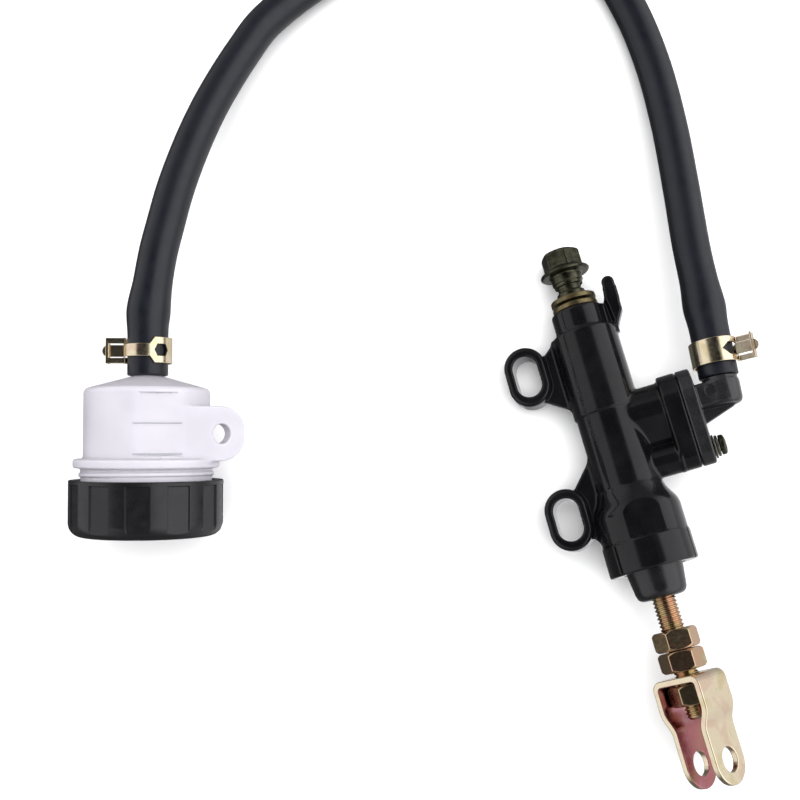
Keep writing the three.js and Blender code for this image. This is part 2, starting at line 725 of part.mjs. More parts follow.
function reservoirBody() {
  const outside = turned([
    [0, vessel.mouthZ],
    [vessel.neckRadius, vessel.mouthZ],
    [vessel.neckRadius, vessel.ringLowZ],
    [vessel.ringRadius - 0.8, vessel.ringLowZ],
    [vessel.ringRadius, vessel.ringLowZ + 0.8],
    [vessel.ringRadius, vessel.ringHighZ - 0.8],
    [vessel.radius, vessel.ringHighZ + 0.6],
    [vessel.radius, vessel.shoulderZ - 1],
    [vessel.radius - 1.2, vessel.shoulderZ],
    [7.4, vessel.topZ],
    [0, vessel.topZ],
  ], 36);
  const neckThread = turned([
    [vessel.neckRadius - 1, 11],
    [vessel.neckRadius, 11],
    [vessel.threadRadius, 11.6],
    [vessel.threadRadius, 12.4],
    [vessel.neckRadius, 13],
    [vessel.neckRadius - 1, 13],
    [vessel.neckRadius - 1, 11],
  ], 36);
  const hollow = turned([
    [0, vessel.mouthZ - 1],
    [vessel.inner, vessel.mouthZ - 1],
    [vessel.inner, vessel.shoulderZ - 3],
    [nozzle.boreRadius, vessel.topZ - 2.4],
    [0, vessel.topZ - 2.4],
  ]);
  const flat = sightFlat.depth - vessel.radius;
  const highZ = vessel.shoulderZ - 1.6;
  const flatCut = box([-12, 12], [-vessel.radius - 5, flat], [vessel.ringHighZ + 1.2, highZ]);
  const tipZ = vessel.topZ + nozzle.length;
  return cut(
    fused(outside, neckThread, tabPlate(), disc(nozzle.radius, vessel.topZ - 1, tipZ, 24)),
    hollow,
    disc(nozzle.boreRadius, vessel.topZ - 4, tipZ + 1, 16),
    flatCut.rotateZ(radians(sightFlat.turn)),
  );
}

addPart(reservoir, "reservoir_body", reservoirBody(), milkyPlastic());

function reservoirCap() {
  const profile = [[0, 0]];
  const steps = 4;
  for (let i = 0; i <= steps; i += 1) {
    const angle = (Math.PI / 2) * (i / steps);
    profile.push([cap.radius - cap.edge * (1 - Math.sin(angle)), cap.edge * (1 - Math.cos(angle))]);
  }
  profile.push([cap.radius, cap.height - 0.4], [cap.radius - 0.4, cap.height], [0, cap.height]);
  const hollow = disc(cap.innerRadius, cap.wall, cap.height + 1, 36);
  const flutes = [];
  for (let i = 0; i < cap.flutes; i += 1) {
    const groove = box(
      [-cap.fluteWidth / 2, cap.fluteWidth / 2],
      [-cap.radius - 2, -cap.radius + cap.fluteDepth],
      [-1, cap.height - cap.fluteTopMargin],
    );
    flutes.push(groove.rotateZ(radians(cap.fluteTurn + (360 * i) / cap.flutes)));
  }
  return cut(turned(profile, 36), hollow, ...flutes);
}

addPart(reservoir, "reservoir_cap", reservoirCap(), capPlastic());

const plateLowZ = cap.wall + gap;
const plateHighZ = plateLowZ + liner.plateThickness;
addPart(reservoir, "diaphragm_plate", ring(liner.radius, 6, plateLowZ, plateHighZ), blackPlastic());

function diaphragm() {
  const lowZ = plateHighZ + gap;
  const seatZ = vessel.mouthZ - gap;
  const depthZ = lowZ + liner.cupDepth;
  return turned([
    [0, depthZ],
    [liner.cupRadius - 1, depthZ],
    [liner.cupRadius, depthZ - 1],
    [liner.cupRadius, seatZ],
    [liner.radius, seatZ],
    [liner.radius, lowZ],
    [liner.cupRadius - liner.wall, lowZ],
    [liner.cupRadius - liner.wall, depthZ - liner.wall - 0.6],
    [0, depthZ - liner.wall - 0.6],
  ], 28);
}

addPart(reservoir, "diaphragm", geometryOf(solid(diaphragm())), blackRubber());

// ---- clamps -------------------------------------------------------------------------------------

// A strip clamp round the hose, its ears towards -X, centred on z = 0.
function hoseClamp() {
  const inner = clampBand.radius;
  const outer = inner + clampBand.thickness;
  const half = clampBand.height / 2;
  const tongue = clampBand.tongueHeight / 2;
  const split = box([-outer - 2, 0], [-0.7, 0.7], [-half - 1, half + 1]);
  const earEnd = -outer - clampBand.earReach;
  return fused(
    cut(ring(outer, inner, -half, half, 28), split),
    box([earEnd, -inner - 0.2], [-1.5, -0.7], [-half, half]),
    box([earEnd - 0.8, earEnd], [-1.5, 2.2], [-half, half]),
    box([earEnd - 3.2, -inner - 0.2], [0.7, 1.5], [-tongue, tongue]),
  );
}

addPart(reservoir, "hose_clamp_reservoir", hoseClamp().translate(0, 0, reservoirClampZ), yellowZinc());
const elbowClamp = hoseClamp().rotateZ(radians(elbowClampTurn)).translate(0, 0, elbowClampLift);
addPart(cylinder, "hose_clamp_elbow", alongNipple(elbowClamp), yellowZinc());

// ---- hose ---------------------------------------------------------------------------------------

// The hose's centre line, from the reservoir's nozzle over the arch to the elbow's nipple. It leaves
// both nipples straight and lies on the bench in between.
const hoseRoute = [
  [-87.0, 39.8, 30.4],
  [-87.0, 49.8, 31.8],
  [-86.9, 59.8, 33.2],
  [-85.8, 69.7, 33.6],
  [-84.6, 80.2, 32.7],
  [-82.8, 91.0, 31.0],
  [-80.9, 102.2, 28.7],
  [-78.4, 113.6, 25.8],
  [-75.3, 125.3, 22.6],
  [-71.5, 137.0, 19.4],
  [-66.8, 148.6, 16.4],
  [-61.4, 160.0, 13.6],
  [-54.4, 172.2, 11.0],
  [-37.7, 188.4, 8.4],
  [-19.6, 200.3, 7.0],
  [-0.4, 208.8, 6.5],
  [19.1, 213.1, 6.5],
  [37.6, 212.9, 6.5],
  [54.1, 207.5, 6.5],
  [67.7, 196.4, 6.5],
  [77.3, 179.2, 6.5],
  [84.1, 158.9, 7.3],
  [88.5, 134.6, 9.8],
  [90.7, 109.9, 13.9],
  [92.1, 86.1, 18.8],
  [93.7, 72.2, 21.0],
  [95.5, 59.7, 21.65],
  [96.9, 49.8, 22.1],
  [98.2, 40.9, 22.5],
];

function hoseShape() {
  const points = hoseRoute.map((point) => new THREE.Vector3(...point));
  const path = new THREE.CatmullRomCurve3(points, false, "centripetal");
  const section = new THREE.Shape(circlePoints(hose.radius, hose.sides));
  section.holes.push(new THREE.Path(circlePoints(hose.innerRadius, hose.sides).reverse()));
  return new THREE.ExtrudeGeometry(section, { steps: 56, bevelEnabled: false, extrudePath: path });
}

addPart(model, "hose", geometryOf(solid(hoseShape())), blackRubber());

export default model;
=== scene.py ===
"""A motorcycle rear brake master cylinder with its remote reservoir and hose, on a pale bench.

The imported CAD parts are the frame. Every part that shows is rebuilt here with finer geometry in the
same place. Shapes are drawn in millimetres in the upright frames of the two assemblies: in the
cylinder's frame the bore runs along Z and z = 0 is the banjo bolt's seat, and in the reservoir's
frame z = 0 is the outer face of the cap. Most shapes are signed distance fields, negative inside.
"""
import json
import math

import bpy
import numpy as np
import openvdb
from mathutils import Matrix, Vector


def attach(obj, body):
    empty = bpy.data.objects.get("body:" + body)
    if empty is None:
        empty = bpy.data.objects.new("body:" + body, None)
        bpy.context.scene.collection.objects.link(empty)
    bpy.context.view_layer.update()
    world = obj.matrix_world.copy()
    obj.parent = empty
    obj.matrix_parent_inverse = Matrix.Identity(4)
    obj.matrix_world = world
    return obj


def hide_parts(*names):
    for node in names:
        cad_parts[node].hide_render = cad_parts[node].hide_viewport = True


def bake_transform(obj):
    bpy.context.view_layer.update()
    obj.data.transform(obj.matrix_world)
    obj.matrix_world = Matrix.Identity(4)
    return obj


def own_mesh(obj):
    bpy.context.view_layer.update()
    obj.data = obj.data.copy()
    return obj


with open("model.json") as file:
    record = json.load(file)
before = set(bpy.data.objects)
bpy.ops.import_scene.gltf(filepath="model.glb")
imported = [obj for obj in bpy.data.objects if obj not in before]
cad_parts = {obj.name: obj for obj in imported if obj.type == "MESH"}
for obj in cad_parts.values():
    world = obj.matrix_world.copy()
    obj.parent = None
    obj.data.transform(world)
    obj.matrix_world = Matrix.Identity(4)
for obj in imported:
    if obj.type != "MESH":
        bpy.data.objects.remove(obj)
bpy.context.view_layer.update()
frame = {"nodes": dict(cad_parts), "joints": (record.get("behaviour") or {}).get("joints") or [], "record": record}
MM = 0.001

# ---- where the assemblies are -------------------------------------------------------------------

JOINTS = {joint["name"]: joint for joint in frame["joints"]}
MOUNTS = {mount["name"]: mount for mount in frame["record"]["mounts"]}
BALL_Z = -71.5  # the rod's ball, along the bore


def local_frame(origin, x_axis, y_axis, z_axis):
    """The matrix from an upright frame in millimetres to the row frame in metres."""
    turned = Matrix((x_axis, y_axis, z_axis)).transposed().to_4x4()
    return Matrix.Translation(origin) @ turned @ Matrix.Scale(MM, 4)


def cylinder_frame():
    z_axis = Vector(JOINTS["pushrod_stroke"]["axis"]).normalized()
    y_axis = Vector(MOUNTS["lug_face_upper"]["axis"]).normalized()
    x_axis = y_axis.cross(z_axis).normalized()
    origin = Vector(JOINTS["rod_tilt"]["pos_m"]) - z_axis * BALL_Z * MM
    return local_frame(origin, x_axis, z_axis.cross(x_axis), z_axis)


def reservoir_frame():
    z_axis = -Vector(JOINTS["cap_turn"]["axis"]).normalized()
    x_axis = Vector((1, 0, 0))
    return local_frame(Vector(JOINTS["cap_turn"]["pos_m"]), x_axis, z_axis.cross(x_axis), z_axis)


CYLINDER = cylinder_frame()
RESERVOIR = reservoir_frame()

# ---- sizes in millimetres, as in the CAD ---------------------------------------------------------

FACING = 14.0  # degrees about the bore that the nuts and the band's grooves are turned by
COLLAR_FLAT_TURN = 9.0
PORT_Z, PORT_SCREW_Z = -40.3, -57.4
PORT_FACE_X = 24.4
ELBOW_FACE_X, ELBOW_OUTER_X = 24.45, 29.1
NIPPLE_X, NIPPLE_LEAN, HOSE_END_Z = 37.8, 6.1, -36.2
ROD_RADIUS = 3.9
NUT_FLATS, NUT_HEIGHT = 12.8, 6.3
CLEVIS_TOP, CLEVIS_LENGTH, CLEVIS_WIDTH, CLEVIS_TURN = -124.2, 34.6, 15.4, 34
CAP_RADIUS, CAP_HEIGHT, CAP_FLUTE_TURN = 24.2, 17.8, 6
VESSEL_RADIUS, VESSEL_TOP = 19.8, 50
HOSE_RADIUS = 6.2

# ---- signed distance fields ----------------------------------------------------------------------


def join(a, b, fillet=0.0):
    """The union of two fields, with a fillet of about that size in the inner corner."""
    if fillet <= 0:
        return np.minimum(a, b)
    h = np.clip(0.5 + 0.5 * (b - a) / fillet, 0, 1)
    return b + (a - b) * h - fillet * h * (1 - h)


def common(a, b, round_off=0.0):
    return -join(-a, -b, round_off)


def carve(a, tool, round_off=0.0):
    return -join(-a, tool, round_off)


def span(value, low, high):
    """The slab between low and high."""
    return np.abs(value - (low + high) / 2) - (high - low) / 2


def circle(x, y, radius, centre=(0, 0)):
    return np.sqrt((x - centre[0]) ** 2 + (y - centre[1]) ** 2) - radius


def turned_about_z(x, y, degrees):
    """Where a point is, seen from a shape turned by that angle about Z."""
    c, s = math.cos(math.radians(degrees)), math.sin(math.radians(degrees))
    return x * c + y * s, y * c - x * s


def capsule(x, y, start, end, radius):
    """A stadium outline: everything within radius of the segment from start to end."""
    dx, dy = end[0] - start[0], end[1] - start[1]
    t = np.clip(((x - start[0]) * dx + (y - start[1]) * dy) / (dx * dx + dy * dy), 0, 1)
    return np.sqrt((x - start[0] - t * dx) ** 2 + (y - start[1] - t * dy) ** 2) - radius


def drop(x, y, big, upper_y, small, lower_y):
    """A drop outline: a big circle above and a small one below, joined by tangents."""
    height = upper_y - lower_y
    sine = (big - small) / height
    cosine = math.sqrt(1 - sine * sine)
    px, py = np.abs(x), upper_y - y
    along = cosine * py - sine * px
    above = np.sqrt(px**2 + py**2) - big
    below = np.sqrt(px**2 + (py - height) ** 2) - small
    tangent = cosine * px + sine * py - big
    return np.where(along < 0, above, np.where(along > cosine * height, below, tangent))


def polygon(x, y, points):
    """The exact distance to a closed outline with straight sides."""
    best = np.full(np.broadcast(x, y).shape, 1e9, np.float32)
    inside = np.zeros(best.shape, bool)
    for (ax, ay), (bx, by) in zip(points, points[1:] + points[:1]):
        dx, dy = bx - ax, by - ay
        t = np.clip(((x - ax) * dx + (y - ay) * dy) / (dx * dx + dy * dy), 0, 1)
        best = np.minimum(best, (x - ax - t * dx) ** 2 + (y - ay - t * dy) ** 2)
        if ay != by:
            crosses = ((y >= ay) != (y >= by)) & (x < ax + dx * (y - ay) / (by - ay))
            inside = inside ^ crosses
    return np.where(inside, -1.0, 1.0) * np.sqrt(best)


def prism(x, y, flats, sides, turn=0.0, corner=0.3):
    """A regular prism's outline, with one flat facing -Y at turn 0."""
    whole = None
    for i in range(sides // 2):
        angle = math.radians(turn - 90 + 360 * i / sides)
        flat = np.abs(x * math.cos(angle) + y * math.sin(angle)) - flats / 2
        whole = flat if whole is None else common(whole, flat, corner)
    return whole


def tube_field(radius, middle, thickness):
    return np.abs(radius - middle) - thickness / 2


def skin(name, field, low, high, step, home):
    """A mesh of the surface where field is zero, inside the given box, with the field's own normals."""
    step = step * 1.0
    axes = [np.arange(a - 2 * step, b + 3 * step, step, dtype=np.float32) for a, b in zip(low, high)]
    x, y, z = np.meshgrid(*axes, indexing="ij", sparse=True)
    values = np.broadcast_to(field(x, y, z), tuple(len(a) for a in axes)).astype(np.float32)
    grid = openvdb.FloatGrid(float(step * 4))
    grid.copyFromArray(np.clip(values, -step * 4, step * 4))
    points, quads = grid.convertToQuads()
    points = points.astype(np.float64) * step + np.array([a[0] for a in axes])
    normals = np.zeros_like(points)
    for _ in range(2):
        normals = gradient(field, points, step * 0.25)
        distance = field(*points.T)
        points = points - normals * np.clip(distance, -step, step)[:, None] * 0.9
    normals = gradient(field, points, step * 0.25)
    return mesh_object(name, points, quads, home, normals)


def gradient(field, points, reach):
    parts = []
    for axis in range(3):
        shift = np.zeros(3)
        shift[axis] = reach
        parts.append(field(*(points + shift).T) - field(*(points - shift).T))
    vectors = np.stack(parts, axis=1)
    return vectors / np.maximum(np.linalg.norm(vectors, axis=1), 1e-9)[:, None]


def mesh_object(name, points, faces, home, normals=None):
    """A smooth-shaded mesh object, with its points taken from an upright frame to the row frame."""
    turn = np.array(home.to_3x3()) / MM
    placed = points @ (turn * MM).T + np.array(home.translation)
    mesh = bpy.data.meshes.new(name)
    mesh.from_pydata(placed.tolist(), [], [list(map(int, face)) for face in faces])
    mesh.validate()
    mesh.update()
    mesh.polygons.foreach_set("use_smooth", np.ones(len(mesh.polygons), bool))
    if normals is not None:
        mesh.normals_split_custom_set_from_vertices((normals @ turn.T).tolist())
    piece = bpy.data.objects.new(name, mesh)
    bpy.context.scene.collection.objects.link(piece)
    return piece


def ring_faces(rows, sides):
    """The faces that join rings of points in a row, with both ends capped."""
    faces = []
    for row in range(rows - 1):
        for i in range(sides):
            j = (i + 1) % sides
            faces.append([row * sides + i, row * sides + j, (row + 1) * sides + j, (row + 1) * sides + i])
    faces.append(list(range(sides))[::-1])
    faces.append([(rows - 1) * sides + i for i in range(sides)])
    return faces


def lathe(name, radius_at, heights, sides, home):
    """A surface of revolution whose radius may depend on the angle: radius_at(height index, angles)."""
    angles = np.arange(sides) * 2 * math.pi / sides
    rings = []
    for index, height in enumerate(heights):
        radius = radius_at(index, angles)
        level = np.full(sides, height) if np.isscalar(height) else height
        rings.append(np.stack([radius * np.cos(angles), radius * np.sin(angles), level], axis=1))
    return mesh_object(name, np.concatenate(rings), ring_faces(len(heights), sides), home)


def place(piece, body, node, slot, material):
    """Puts a finished piece in the model: its body, the CAD node that it stands for and its finish."""
    piece.data.materials.clear()
    piece.data.materials.append(material)
    if body:
        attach(piece, body)
    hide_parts(node)
    return piece


# ---- materials -----------------------------------------------------------------------------------


def new_material(name, **settings):
    """A material with one Principled shader, its plain values set, and its node tree."""
    material = bpy.data.materials.new(name)
    material.use_nodes = True
    shader = material.node_tree.nodes["Principled BSDF"]
    for key, value in settings.items():
        shader.inputs[key.replace("_", " ")].default_value = value
    return material, material.node_tree, shader


def add_node(tree, kind, inputs=(), **attributes):
    node = tree.nodes.new(kind)
    for key, value in attributes.items():
        setattr(node, key, value)
    for key, value in dict(inputs).items():
        if isinstance(value, bpy.types.NodeSocket):
            tree.links.new(value, node.inputs[key])
        else:
            node.inputs[key].default_value = value
    return node


def noise(tree, size_mm, detail=2.0, roughness=0.5, distortion=0.0):
    """A noise value over the surface, its blotches about size_mm across."""
    place = add_node(tree, "ShaderNodeTexCoord").outputs["Object"]
    inputs = {"Vector": place, "Scale": 1 / (size_mm * MM), "Detail": detail}
    inputs.update({"Roughness": roughness, "Distortion": distortion})
    return add_node(tree, "ShaderNodeTexNoise", inputs).outputs["Fac"]


def ramp(tree, value, stops):
    """A colour ramp; stops are (position, colour) pairs."""
    node = add_node(tree, "ShaderNodeValToRGB", {"Fac": value})
    elements = node.color_ramp.elements
    while len(elements) < len(stops):
        elements.new(0.5)
    for element, (position, colour) in zip(elements, stops):
        element.position = position
        element.color = (*colour, 1)
    return node.outputs["Color"]


def scaled(tree, value, low, high):
    """A noise value stretched to run from low to high."""
    inputs = {"Value": value, "From Min": 0.3, "From Max": 0.7, "To Min": low, "To Max": high}
    return add_node(tree, "ShaderNodeMapRange", inputs).outputs["Result"]


def bump(tree, shader, layers):
    """Chained bumps; layers are (height value, depth in millimetres) pairs."""
    normal = None
    for height, depth in layers:
        inputs = {"Height": height, "Distance": depth * MM, "Strength": 1.0}
        if normal is not None:
            inputs["Normal"] = normal
        normal = add_node(tree, "ShaderNodeBump", inputs).outputs["Normal"]
    tree.links.new(normal, shader.inputs["Normal"])


def black_paint():
    material, tree, shader = new_material("black_paint", Coat_Weight=1.0, Coat_Roughness=0.05, Coat_IOR=1.33)
    shader.inputs["Specular IOR Level"].default_value = 0.12
    colour = ramp(tree, noise(tree, 9, 3), [(0.35, (0.0025, 0.0025, 0.003)), (0.7, (0.005, 0.005, 0.006))])
    tree.links.new(colour, shader.inputs["Base Color"])
    tree.links.new(scaled(tree, noise(tree, 4, 3), 0.2, 0.34), shader.inputs["Roughness"])
    bump(tree, shader, [(noise(tree, 2.2, 2), 0.012), (noise(tree, 0.45, 2), 0.006)])
    return material


def moulded_black(name, base, rough, grain_mm, depth_mm, coat=0.0):
    """Black plastic or rubber: a dark base with a fine grain."""
    material, tree, shader = new_material(name, Coat_Weight=coat, Coat_Roughness=0.12, Coat_IOR=1.4)
    dark = tuple(0.75 * channel for channel in base)
    colour = ramp(tree, noise(tree, 6, 4), [(0.3, dark), (0.7, base)])
    tree.links.new(colour, shader.inputs["Base Color"])
    tree.links.new(scaled(tree, noise(tree, 3, 3), rough - 0.05, rough + 0.07), shader.inputs["Roughness"])
    bump(tree, shader, [(noise(tree, grain_mm * 6, 2), depth_mm * 2), (noise(tree, grain_mm, 3), depth_mm)])
    return material


def yellow_zinc(name, stops):
    """Yellow chromate on zinc, with slow clouds of colour."""
    material, tree, shader = new_material(name, Metallic=1.0)
    colour = ramp(tree, noise(tree, 11, 3, 0.5, 0.5), stops)
    tree.links.new(colour, shader.inputs["Base Color"])
    tree.links.new(scaled(tree, noise(tree, 1.2, 4), 0.14, 0.26), shader.inputs["Roughness"])
    bump(tree, shader, [(noise(tree, 1.5, 3), 0.005), (noise(tree, 0.25, 2), 0.003)])
    return material


def dull_metal(name, light, dark, rough, size_mm=2.5, depth_mm=0.006):
    """Plated steel or brass with a mottled tone and fine machining grain."""
    material, tree, shader = new_material(name, Metallic=1.0)
    colour = ramp(tree, noise(tree, size_mm, 4, 0.6), [(0.35, dark), (0.65, light)])
    tree.links.new(colour, shader.inputs["Base Color"])
    tree.links.new(scaled(tree, noise(tree, 0.8, 4), rough - 0.07, rough + 0.1), shader.inputs["Roughness"])
    bump(tree, shader, [(noise(tree, 0.3, 3), depth_mm)])
    return material


def milky_plastic():
    material, tree, shader = new_material("milky_plastic", Subsurface_Weight=0.6, Subsurface_Scale=0.003)
    shader.inputs["Subsurface Radius"].default_value = (1.0, 0.95, 1.0)
    colour = ramp(tree, noise(tree, 14, 3), [(0.35, (0.475, 0.46, 0.505)), (0.7, (0.52, 0.505, 0.55))])
    tree.links.new(colour, shader.inputs["Base Color"])
    tree.links.new(scaled(tree, noise(tree, 2, 3), 0.3, 0.42), shader.inputs["Roughness"])
    bump(tree, shader, [(noise(tree, 5, 2), 0.03), (noise(tree, 0.5, 2), 0.003)])
    return material


PAINT = black_paint()
ELBOW_PLASTIC = moulded_black("elbow_plastic", (0.012, 0.012, 0.013), 0.24, 0.35, 0.004, 0.5)
BOOT_RUBBER = moulded_black("boot_rubber", (0.006, 0.006, 0.007), 0.26, 0.6, 0.003, 0.3)
HOSE_RUBBER = moulded_black("hose_rubber", (0.005, 0.006, 0.010), 0.36, 0.5, 0.008)
SEAL_RUBBER = moulded_black("seal_rubber", (0.018, 0.018, 0.018), 0.5, 0.4, 0.006)
CAP_PLASTIC = moulded_black("cap_plastic", (0.006, 0.006, 0.007), 0.3, 0.3, 0.005)
YELLOW_ZINC = yellow_zinc("yellow_zinc", [
    (0.34, (0.80, 0.67, 0.42)), (0.45, (0.90, 0.79, 0.56)), (0.53, (0.91, 0.77, 0.56)),
    (0.60, (0.86, 0.66, 0.49)), (0.70, (0.84, 0.72, 0.50)),
])
# Painted shade and painted reflected colour: a darker, rosier zinc for the clevis faces between the ears.
INNER_SHADE_ZINC = yellow_zinc("rose_zinc_painted_shade", [
    (0.36, (0.46, 0.22, 0.17)), (0.48, (0.47, 0.17, 0.18)),
    (0.58, (0.52, 0.24, 0.27)), (0.68, (0.62, 0.45, 0.30)),
])
COPPER_ZINC = yellow_zinc("copper_zinc", [
    (0.38, (0.62, 0.45, 0.27)), (0.5, (0.66, 0.42, 0.28)),
    (0.62, (0.58, 0.46, 0.27)), (0.7, (0.70, 0.60, 0.38)),
])
OLIVE_ZINC = dull_metal("olive_zinc", (0.13, 0.125, 0.085), (0.05, 0.05, 0.034), 0.3)
SEALING_BRASS = dull_metal("sealing_brass", (0.31, 0.235, 0.115), (0.17, 0.15, 0.085), 0.4)
PLAIN_STEEL = dull_metal("plain_steel", (0.32, 0.31, 0.27), (0.2, 0.19, 0.16), 0.34)
BARE_ALUMINIUM = dull_metal("bare_aluminium", (0.78, 0.79, 0.8), (0.66, 0.67, 0.69), 0.3)
MILKY_PLASTIC = milky_plastic()
# Painted shade: a grey for the raised level lines, standing in for the shading of the moulded ribs.
LEVEL_LINE_SHADE = moulded_black("level_line_painted_shade", (0.36, 0.36, 0.4), 0.45, 0.4, 0.002)

# ---- camera, bench and light ---------------------------------------------------------------------

TARGET = Vector((-6.2, 35.2, 12)) * MM
CAMERA_TILT = 9.9  # degrees from straight down
CAMERA_DISTANCE = 380 * MM
LENS = 50.96


def make_camera():
    camera = bpy.data.objects.new("camera", bpy.data.cameras.new("camera"))
    bpy.context.scene.collection.objects.link(camera)
    tilt = math.radians(CAMERA_TILT)
    camera.location = TARGET + Vector((0, -math.sin(tilt), math.cos(tilt))) * CAMERA_DISTANCE
    camera.rotation_euler = (tilt, 0, 0)
    camera.data.lens = LENS
    camera.data.sensor_width = 36
    camera.data.clip_start = 0.01
    bpy.context.scene.camera = camera


def soft_light(name, place, size, power, shows_in_gloss):
    """A large area light at a place in metres, pointing at the middle of the bench."""
    data = bpy.data.lights.new(name, "AREA")
    data.shape = "RECTANGLE"
    data.size, data.size_y = size
    data.energy = power
    light = bpy.data.objects.new(name, data)
    light.location = place
    light.rotation_euler = (TARGET - Vector(place)).to_track_quat("-Z", "Y").to_euler()
    light.visible_glossy = shows_in_gloss
    bpy.context.scene.collection.objects.link(light)


def make_bench():
    """A wide pale disc, a little below the lowest point of the parts."""
    sides, reach, depth = 96, 3.0, 0.01
    angles = [2 * math.pi * i / sides for i in range(sides)]
    ring = [(reach * math.cos(angle), reach * math.sin(angle)) for angle in angles]
    points = [(x, y, 0) for x, y in ring] + [(x, y, -depth) for x, y in ring]
    faces = [list(range(sides)), list(range(2 * sides - 1, sides - 1, -1))]
    faces += [[i, i + sides, (i + 1) % sides + sides, (i + 1) % sides] for i in range(sides)]
    mesh = bpy.data.meshes.new("bench")
    mesh.from_pydata(points, [], faces)
    bench = bpy.data.objects.new("bench", mesh)
    bpy.context.scene.collection.objects.link(bench)
    material, tree, shader = new_material("bench_white", Roughness=0.75, Specular_IOR_Level=0.2)
    tree.links.new(ramp(tree, noise(tree, 60, 3), [(0.3, (0.9, 0.9, 0.9)), (0.7, (0.93, 0.93, 0.93))]),
                   shader.inputs["Base Color"])
    mesh.materials.append(material)
    bench.visible_glossy = False


def from_signed(tree, value):
    """A value between -1 and 1, brought to between 0 and 1."""
    return add_node(tree, "ShaderNodeMath", {0: value, 1: 0.5, 2: 0.5}, operation="MULTIPLY_ADD").outputs[0]


def product(tree, first, second):
    return add_node(tree, "ShaderNodeVectorMath", {0: first, 1: second}, operation="MULTIPLY").outputs[0]


def make_sky():
    """A light tent: bright to the sides at mid height, dark overhead, dimmer on the left below."""
    world = bpy.data.worlds.new("studio")
    bpy.context.scene.world = world
    world.use_nodes = True
    tree = world.node_tree
    direction = add_node(tree, "ShaderNodeTexCoord").outputs["Generated"]
    leaning = {0: direction, 1: SKY_AXIS}
    height = add_node(tree, "ShaderNodeVectorMath", leaning, operation="DOT_PRODUCT").outputs["Value"]
    fraction = from_signed(tree, height)
    stops = [(0.0, 0.5), (0.4, 0.5), (0.46, 0.9), (0.6, 1.0), (0.9, 1.0), (0.94, 0.07), (1.0, 0.035)]
    overhead = ramp(tree, fraction, [(position, (value, value, value * 1.02)) for position, value in stops])
    flat = product(tree, direction, (1, 1, 0))
    around = add_node(tree, "ShaderNodeVectorMath", {0: flat}, operation="NORMALIZE").outputs[0]
    sideways = add_node(tree, "ShaderNodeSeparateXYZ", {"Vector": around}).outputs["X"]
    across = from_signed(tree, sideways)
    sides = ramp(tree, across, [(position, (value,) * 3) for position, value in SIDE_STOPS])
    horizon = {"Value": fraction, "From Min": 0.4, "From Max": 0.46}
    under = add_node(tree, "ShaderNodeMapRange", horizon).outputs[0]
    below = ramp(tree, across, [(0.0, (0.12,) * 3), (0.6, (0.2,) * 3), (1.0, (1.0,) * 3)])
    around_low = add_node(tree, "ShaderNodeMix", {0: under, 6: below, 7: sides}, data_type="RGBA").outputs[2]
    background = tree.nodes["Background"]
    tree.links.new(product(tree, overhead, around_low), background.inputs["Color"])
    background.inputs["Strength"].default_value = SKY_STRENGTH


SKY_AXIS = (-0.2, 0.04, 0.979)
SIDE_STOPS = [(0.0, 0.6), (0.12, 0.55), (0.33, 0.16), (0.65, 0.18), (0.88, 0.95), (1.0, 1.0)]
SKY_STRENGTH = 1.55
make_camera()
make_bench()
make_sky()
soft_light("overhead_fill", (0.0, 0.1, 1.4), (1.6, 1.6), 34, False)
bpy.context.scene.view_settings.view_transform = "Standard"

# ---- hose ----------------------------------------------------------------------------------------

# The hose's centre line, in millimetres in the row frame, from the reservoir's nozzle over the bench
# to the elbow's nipple.
HOSE_ROUTE = [
    (-87.0, 39.8, 30.4), (-87.0, 49.8, 31.8), (-86.9, 59.8, 33.2), (-85.8, 69.7, 33.6),
    (-84.6, 80.2, 32.7), (-82.8, 91.0, 31.0), (-80.9, 102.2, 28.7), (-78.4, 113.6, 25.8),
    (-75.3, 125.3, 22.6), (-71.5, 137.0, 19.4), (-66.8, 148.6, 16.4), (-61.4, 160.0, 13.6),
    (-54.4, 172.2, 11.0), (-37.7, 188.4, 8.4), (-19.6, 200.3, 7.0), (-0.4, 208.8, 6.5),
    (19.1, 213.1, 6.5), (37.6, 212.9, 6.5), (54.1, 207.5, 6.5), (67.7, 196.4, 6.5),
    (77.3, 179.2, 6.5), (84.1, 158.9, 7.3), (88.5, 134.6, 9.8), (90.7, 109.9, 13.9),
    (92.1, 86.1, 18.8), (93.7, 72.2, 21.0), (95.5, 59.7, 21.65), (96.9, 49.8, 22.1),
    (98.2, 40.9, 22.5),
]
HOSE_BULGE = 0.75  # how far the end of a nipple pushes the hose out
HOSE_WALL = 1.9


def smooth_path(points, steps):
    """A centripetal Catmull-Rom curve through the points, as a list of points."""
    points = np.array(points, float)
    points = np.vstack([2 * points[0] - points[1], points, 2 * points[-1] - points[-2]])
    line = []
    for p0, p1, p2, p3 in zip(points, points[1:], points[2:], points[3:]):
        knots = np.cumsum([0] + [math.sqrt(np.linalg.norm(b - a)) for a, b in ((p0, p1), (p1, p2), (p2, p3))])
        for t in np.linspace(knots[1], knots[2], steps, endpoint=False):
            between = lambda a, b, i, j: ((knots[j] - t) * a + (t - knots[i]) * b) / (knots[j] - knots[i])
            a1, a2, a3 = between(p0, p1, 0, 1), between(p1, p2, 1, 2), between(p2, p3, 2, 3)
            line.append(between(between(a1, a2, 0, 2), between(a2, a3, 1, 3), 1, 2))
    line.append(points[-2])
    return np.array(line)


def hose_radius(along, length):
    """The outer radius at a distance along the hose: it swells over the end of each nipple."""
    radius = HOSE_RADIUS
    for distance, bulge_at in ((along, 21.0), (length - along, 24.5)):
        radius += 0.2 / (1 + math.exp((distance - bulge_at) / 1.8))
        width = 4.6 if distance < bulge_at else 6.5
        radius += (HOSE_BULGE - 0.1) * math.exp(-((distance - bulge_at) / width) ** 2)
    return radius


